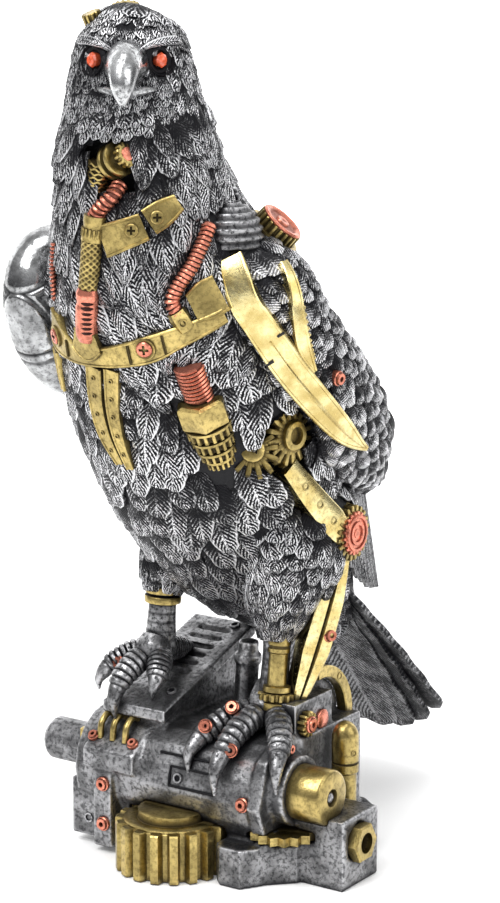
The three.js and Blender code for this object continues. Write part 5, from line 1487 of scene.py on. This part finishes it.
def mix_paints(colours):
    """Every paint, from the colours of the settings."""
    black = tuple(colours.undercoat)
    silver, polished = tuple(colours.silver), tuple(colours.polished)
    brass, patina = tuple(colours.brass), tuple(colours.patina)
    pitch = bpy.context.scene.eagle_plumage.barb_pitch / MM
    dull = scaled(silver, 0.43)
    PAINTS["silver"] = paint("antique_silver_paint", dull, black, smooth=0.34, reach=4.0, black_and_shade_range=(0.5, 0.97),
                             speckle=0.75, shade=scaled(dull, 0.4), grain=0.25, edges=0.9)
    PAINTS["foot_silver"] = paint("foot_silver_paint", scaled(silver, 0.66), black, smooth=0.3, reach=3.0,
                                  black_and_shade_range=(0.5, 0.98), speckle=0.9, shade=scaled(dull, 0.5), grain=0.25)
    PAINTS["body_black"] = paint("body_black_paint", (0.03, 0.03, 0.032), black, metal=0.3, smooth=0.55,
                                 grain=0.3)
    PAINTS["shell"] = paint("shell_silver_paint", scaled(polished, 0.72), black, smooth=0.12, reach=4.0,
                            black_and_shade_range=(0.3, 0.9), speckle=0.5, shade=scaled(polished, 0.25), grain=0.05)
    PAINTS["polished"] = paint("polished_silver_paint", polished, black, smooth=0.2, reach=2.0,
                               black_and_shade_range=(0.3, 0.85), speckle=0.7, shade=scaled(polished, 0.4), grain=0.06)
    PAINTS["feathers"] = feather_paint("feather_paint", silver, black, pitch=pitch)
    PAINTS["fine_feathers"] = feather_paint("fine_feather_paint", silver, black, pitch=0.8 * pitch, half=1.6,
                                            fine=0.6, rim=0.7, wander=6.0)
    PAINTS["scales"] = feather_paint("covert_paint", silver, black, pitch=0.8 * pitch, slant=50.0, fine=0.6,
                                     rim=-0.8, ground=0.22, silver=0.9)
    PAINTS["flight"] = feather_paint("flight_paint", dull, black, pitch=1.1 * pitch, slant=20.0, half=6.0,
                                     fine=0.4, ground=0.2, rim=0.25, smooth=0.45, silver=0.7)
    PAINTS["brass"] = paint("brass_paint", brass, patina, smooth=0.28, reach=2.5, black_and_shade_range=(0.35, 0.92),
                            speckle=0.45, shade=scaled(brass, 0.6), grain=0.12)
    PAINTS["bright_brass"] = paint("bright_brass_paint", tuple(colours.pale_brass), patina, smooth=0.2,
                                   reach=2.0, speckle=0.3, shade=brass, grain=0.08)
    PAINTS["pale_brass"] = paint("pale_brass_paint", tuple(colours.pale_brass), brass, smooth=0.24, reach=1.5,
                                 black_and_shade_range=(0.2, 0.7), speckle=0.4, shade=scaled(brass, 0.85), grain=0.08)
    PAINTS["copper"] = paint("copper_paint", tuple(colours.copper), (0.03, 0.008, 0.006), metal=0.9,
                             smooth=0.27, reach=1.2, black_and_shade_range=(0.3, 0.8), speckle=0.35,
                             shade=scaled(colours.copper, 0.66), grain=0.1)
    PAINTS["blackened"] = paint("blackened_paint", (0.16, 0.16, 0.17), black, smooth=0.35, reach=2.0,
                                grain=0.1)
    stone = Nodes("stone_paint")
    depth = stone.mix(stone.ramp(stone.noise(1.2), 0.3, 0.7), scaled(colours.stone, 0.55),
                      tuple(colours.stone))
    stone.feed(stone.shader.inputs["Base Color"], depth)
    stone.shader.inputs["Roughness"].default_value = 0.08
    stone.shader.inputs["Coat Weight"].default_value = 0.8
    PAINTS["stone"] = stone.material
    floor = Nodes("glowing_floor_paint")
    floor.feed(floor.shader.inputs["Base Color"],
               floor.mix(floor.noise(400.0), scaled(colours.floor, 0.985), tuple(colours.floor)))
    floor.shader.inputs["Roughness"].default_value = 0.7
    # Painted light: the floor and backdrop glow, faintly at the front and fully towards the wall, brightening
    # the sweep and lighting the figurine from below
    floor.feed(floor.shader.inputs["Emission Color"], (1.0, 1.0, 1.0, 1.0))
    back = floor.add("ShaderNodeSeparateXYZ")
    floor.feed(back.inputs[0], floor.add("ShaderNodeTexCoord").outputs["Object"])
    floor.feed(floor.shader.inputs["Emission Strength"], floor.ramp(back.outputs[1], 0.15, 1.1, 0.12, 1.0))
    PAINTS["floor"] = floor.material


# Operators


class EAGLE_OT_paints(bpy.types.Operator):
    """Mix the paints from the colours"""

    bl_idname = "eagle.paints"
    bl_label = "Paints"
    bl_options = {"REGISTER", "UNDO"}

    def execute(self, context):
        mix_paints(context.scene.eagle_paints)
        return {"FINISHED"}


class EAGLE_OT_stage(bpy.types.Operator):
    """Set up floor, lights and camera"""

    bl_idname = "eagle.stage"
    bl_label = "Stage"
    bl_options = {"REGISTER", "UNDO"}

    def execute(self, context):
        make_stage(context.scene.eagle_stage)
        return {"FINISHED"}


class EAGLE_OT_body(bpy.types.Operator):
    """Make the dark body under the feathers"""

    bl_idname = "eagle.body"
    bl_label = "Body"
    bl_options = {"REGISTER", "UNDO"}

    def execute(self, context):
        make_body()
        return {"FINISHED"}


class EAGLE_OT_plumage(bpy.types.Operator):
    """Lay the feathers of head, neck, body and thighs"""

    bl_idname = "eagle.plumage"
    bl_label = "Plumage"
    bl_options = {"REGISTER", "UNDO"}

    def execute(self, context):
        make_plumage(context.scene.eagle_plumage)
        make_thighs(context.scene.eagle_plumage)
        return {"FINISHED"}


class EAGLE_OT_wings(bpy.types.Operator):
    """Lay the coverts, the primaries and the tail"""

    bl_idname = "eagle.wings"
    bl_label = "Wings and tail"
    bl_options = {"REGISTER", "UNDO"}

    def execute(self, context):
        make_wings(context.scene.eagle_plumage)
        make_tail(context.scene.eagle_plumage)
        return {"FINISHED"}


class EAGLE_OT_head(bpy.types.Operator):
    """Make beak, brows and eyes"""

    bl_idname = "eagle.head"
    bl_label = "Head"
    bl_options = {"REGISTER", "UNDO"}

    def execute(self, context):
        make_head()
        return {"FINISHED"}


class EAGLE_OT_feet(bpy.types.Operator):
    """Make the scaled feet"""

    bl_idname = "eagle.feet"
    bl_label = "Feet"
    bl_options = {"REGISTER", "UNDO"}

    def execute(self, context):
        make_feet()
        return {"FINISHED"}


class EAGLE_OT_shell(bpy.types.Operator):
    """Make the polished wing shell and the ribbed shoulder"""

    bl_idname = "eagle.shell"
    bl_label = "Shell and shoulder"
    bl_options = {"REGISTER", "UNDO"}

    def execute(self, context):
        make_shell()
        make_shoulder()
        return {"FINISHED"}


class EAGLE_OT_coils(bpy.types.Operator):
    """Wind the copper coils and braid the hose"""

    bl_idname = "eagle.coils"
    bl_label = "Coils and hose"
    bl_options = {"REGISTER", "UNDO"}

    def execute(self, context):
        make_coils(context.scene.eagle_fittings)
        make_hose()
        return {"FINISHED"}


class EAGLE_OT_straps(bpy.types.Operator):
    """Make the brass straps and plates"""

    bl_idname = "eagle.straps"
    bl_label = "Straps"
    bl_options = {"REGISTER", "UNDO"}

    def execute(self, context):
        make_straps(context.scene.eagle_fittings)
        make_blades(context.scene.eagle_fittings)
        return {"FINISHED"}


class EAGLE_OT_gears(bpy.types.Operator):
    """Cut the eagle's gears, plug and struts"""

    bl_idname = "eagle.gears"
    bl_label = "Gears"
    bl_options = {"REGISTER", "UNDO"}

    def execute(self, context):
        make_shoulder_gears()
        make_hip_gears()
        make_knee_drum()
        make_plug()
        make_struts()
        make_throat()
        make_crown()
        return {"FINISHED"}


class EAGLE_OT_machine(bpy.types.Operator):
    """Finish the machine under the eagle"""

    bl_idname = "eagle.machine"
    bl_label = "Machine"
    bl_options = {"REGISTER", "UNDO"}

    def execute(self, context):
        make_machine(context.scene.eagle_fittings)
        make_machine_brass()
        return {"FINISHED"}


OPERATORS = (EAGLE_OT_paints, EAGLE_OT_stage, EAGLE_OT_body, EAGLE_OT_plumage, EAGLE_OT_wings, EAGLE_OT_head,
             EAGLE_OT_feet, EAGLE_OT_shell, EAGLE_OT_coils, EAGLE_OT_straps, EAGLE_OT_gears, EAGLE_OT_machine)
SETTINGS = {"eagle_paints": PaintSettings, "eagle_plumage": PlumageSettings,
            "eagle_fittings": FittingSettings, "eagle_stage": StageSettings}


class EAGLE_PT_panel(bpy.types.Panel):
    """The figurine's sizes, colours and pieces"""

    bl_idname = "EAGLE_PT_panel"
    bl_label = "Steampunk Eagle"
    bl_space_type = "VIEW_3D"
    bl_region_type = "UI"
    bl_category = "Eagle"

    def draw(self, context):
        for name, group in SETTINGS.items():
            box = self.layout.box()
            for field in group.__annotations__:
                box.prop(getattr(context.scene, name), field)
        for operator in OPERATORS:
            self.layout.operator(operator.bl_idname)


def register():
    for group in SETTINGS.values():
        bpy.utils.register_class(group)
    for name, group in SETTINGS.items():
        setattr(bpy.types.Scene, name, PointerProperty(type=group))
    for operator in OPERATORS:
        bpy.utils.register_class(operator)
    bpy.utils.register_class(EAGLE_PT_panel)


def unregister():
    bpy.utils.unregister_class(EAGLE_PT_panel)
    for operator in reversed(OPERATORS):
        bpy.utils.unregister_class(operator)
    for name, group in SETTINGS.items():
        delattr(bpy.types.Scene, name)
        bpy.utils.unregister_class(group)


def main():
    register()
    for operator in OPERATORS:
        area, name = operator.bl_idname.split(".")
        getattr(getattr(bpy.ops, area), name)()


if __name__ == "__main__":
    main()
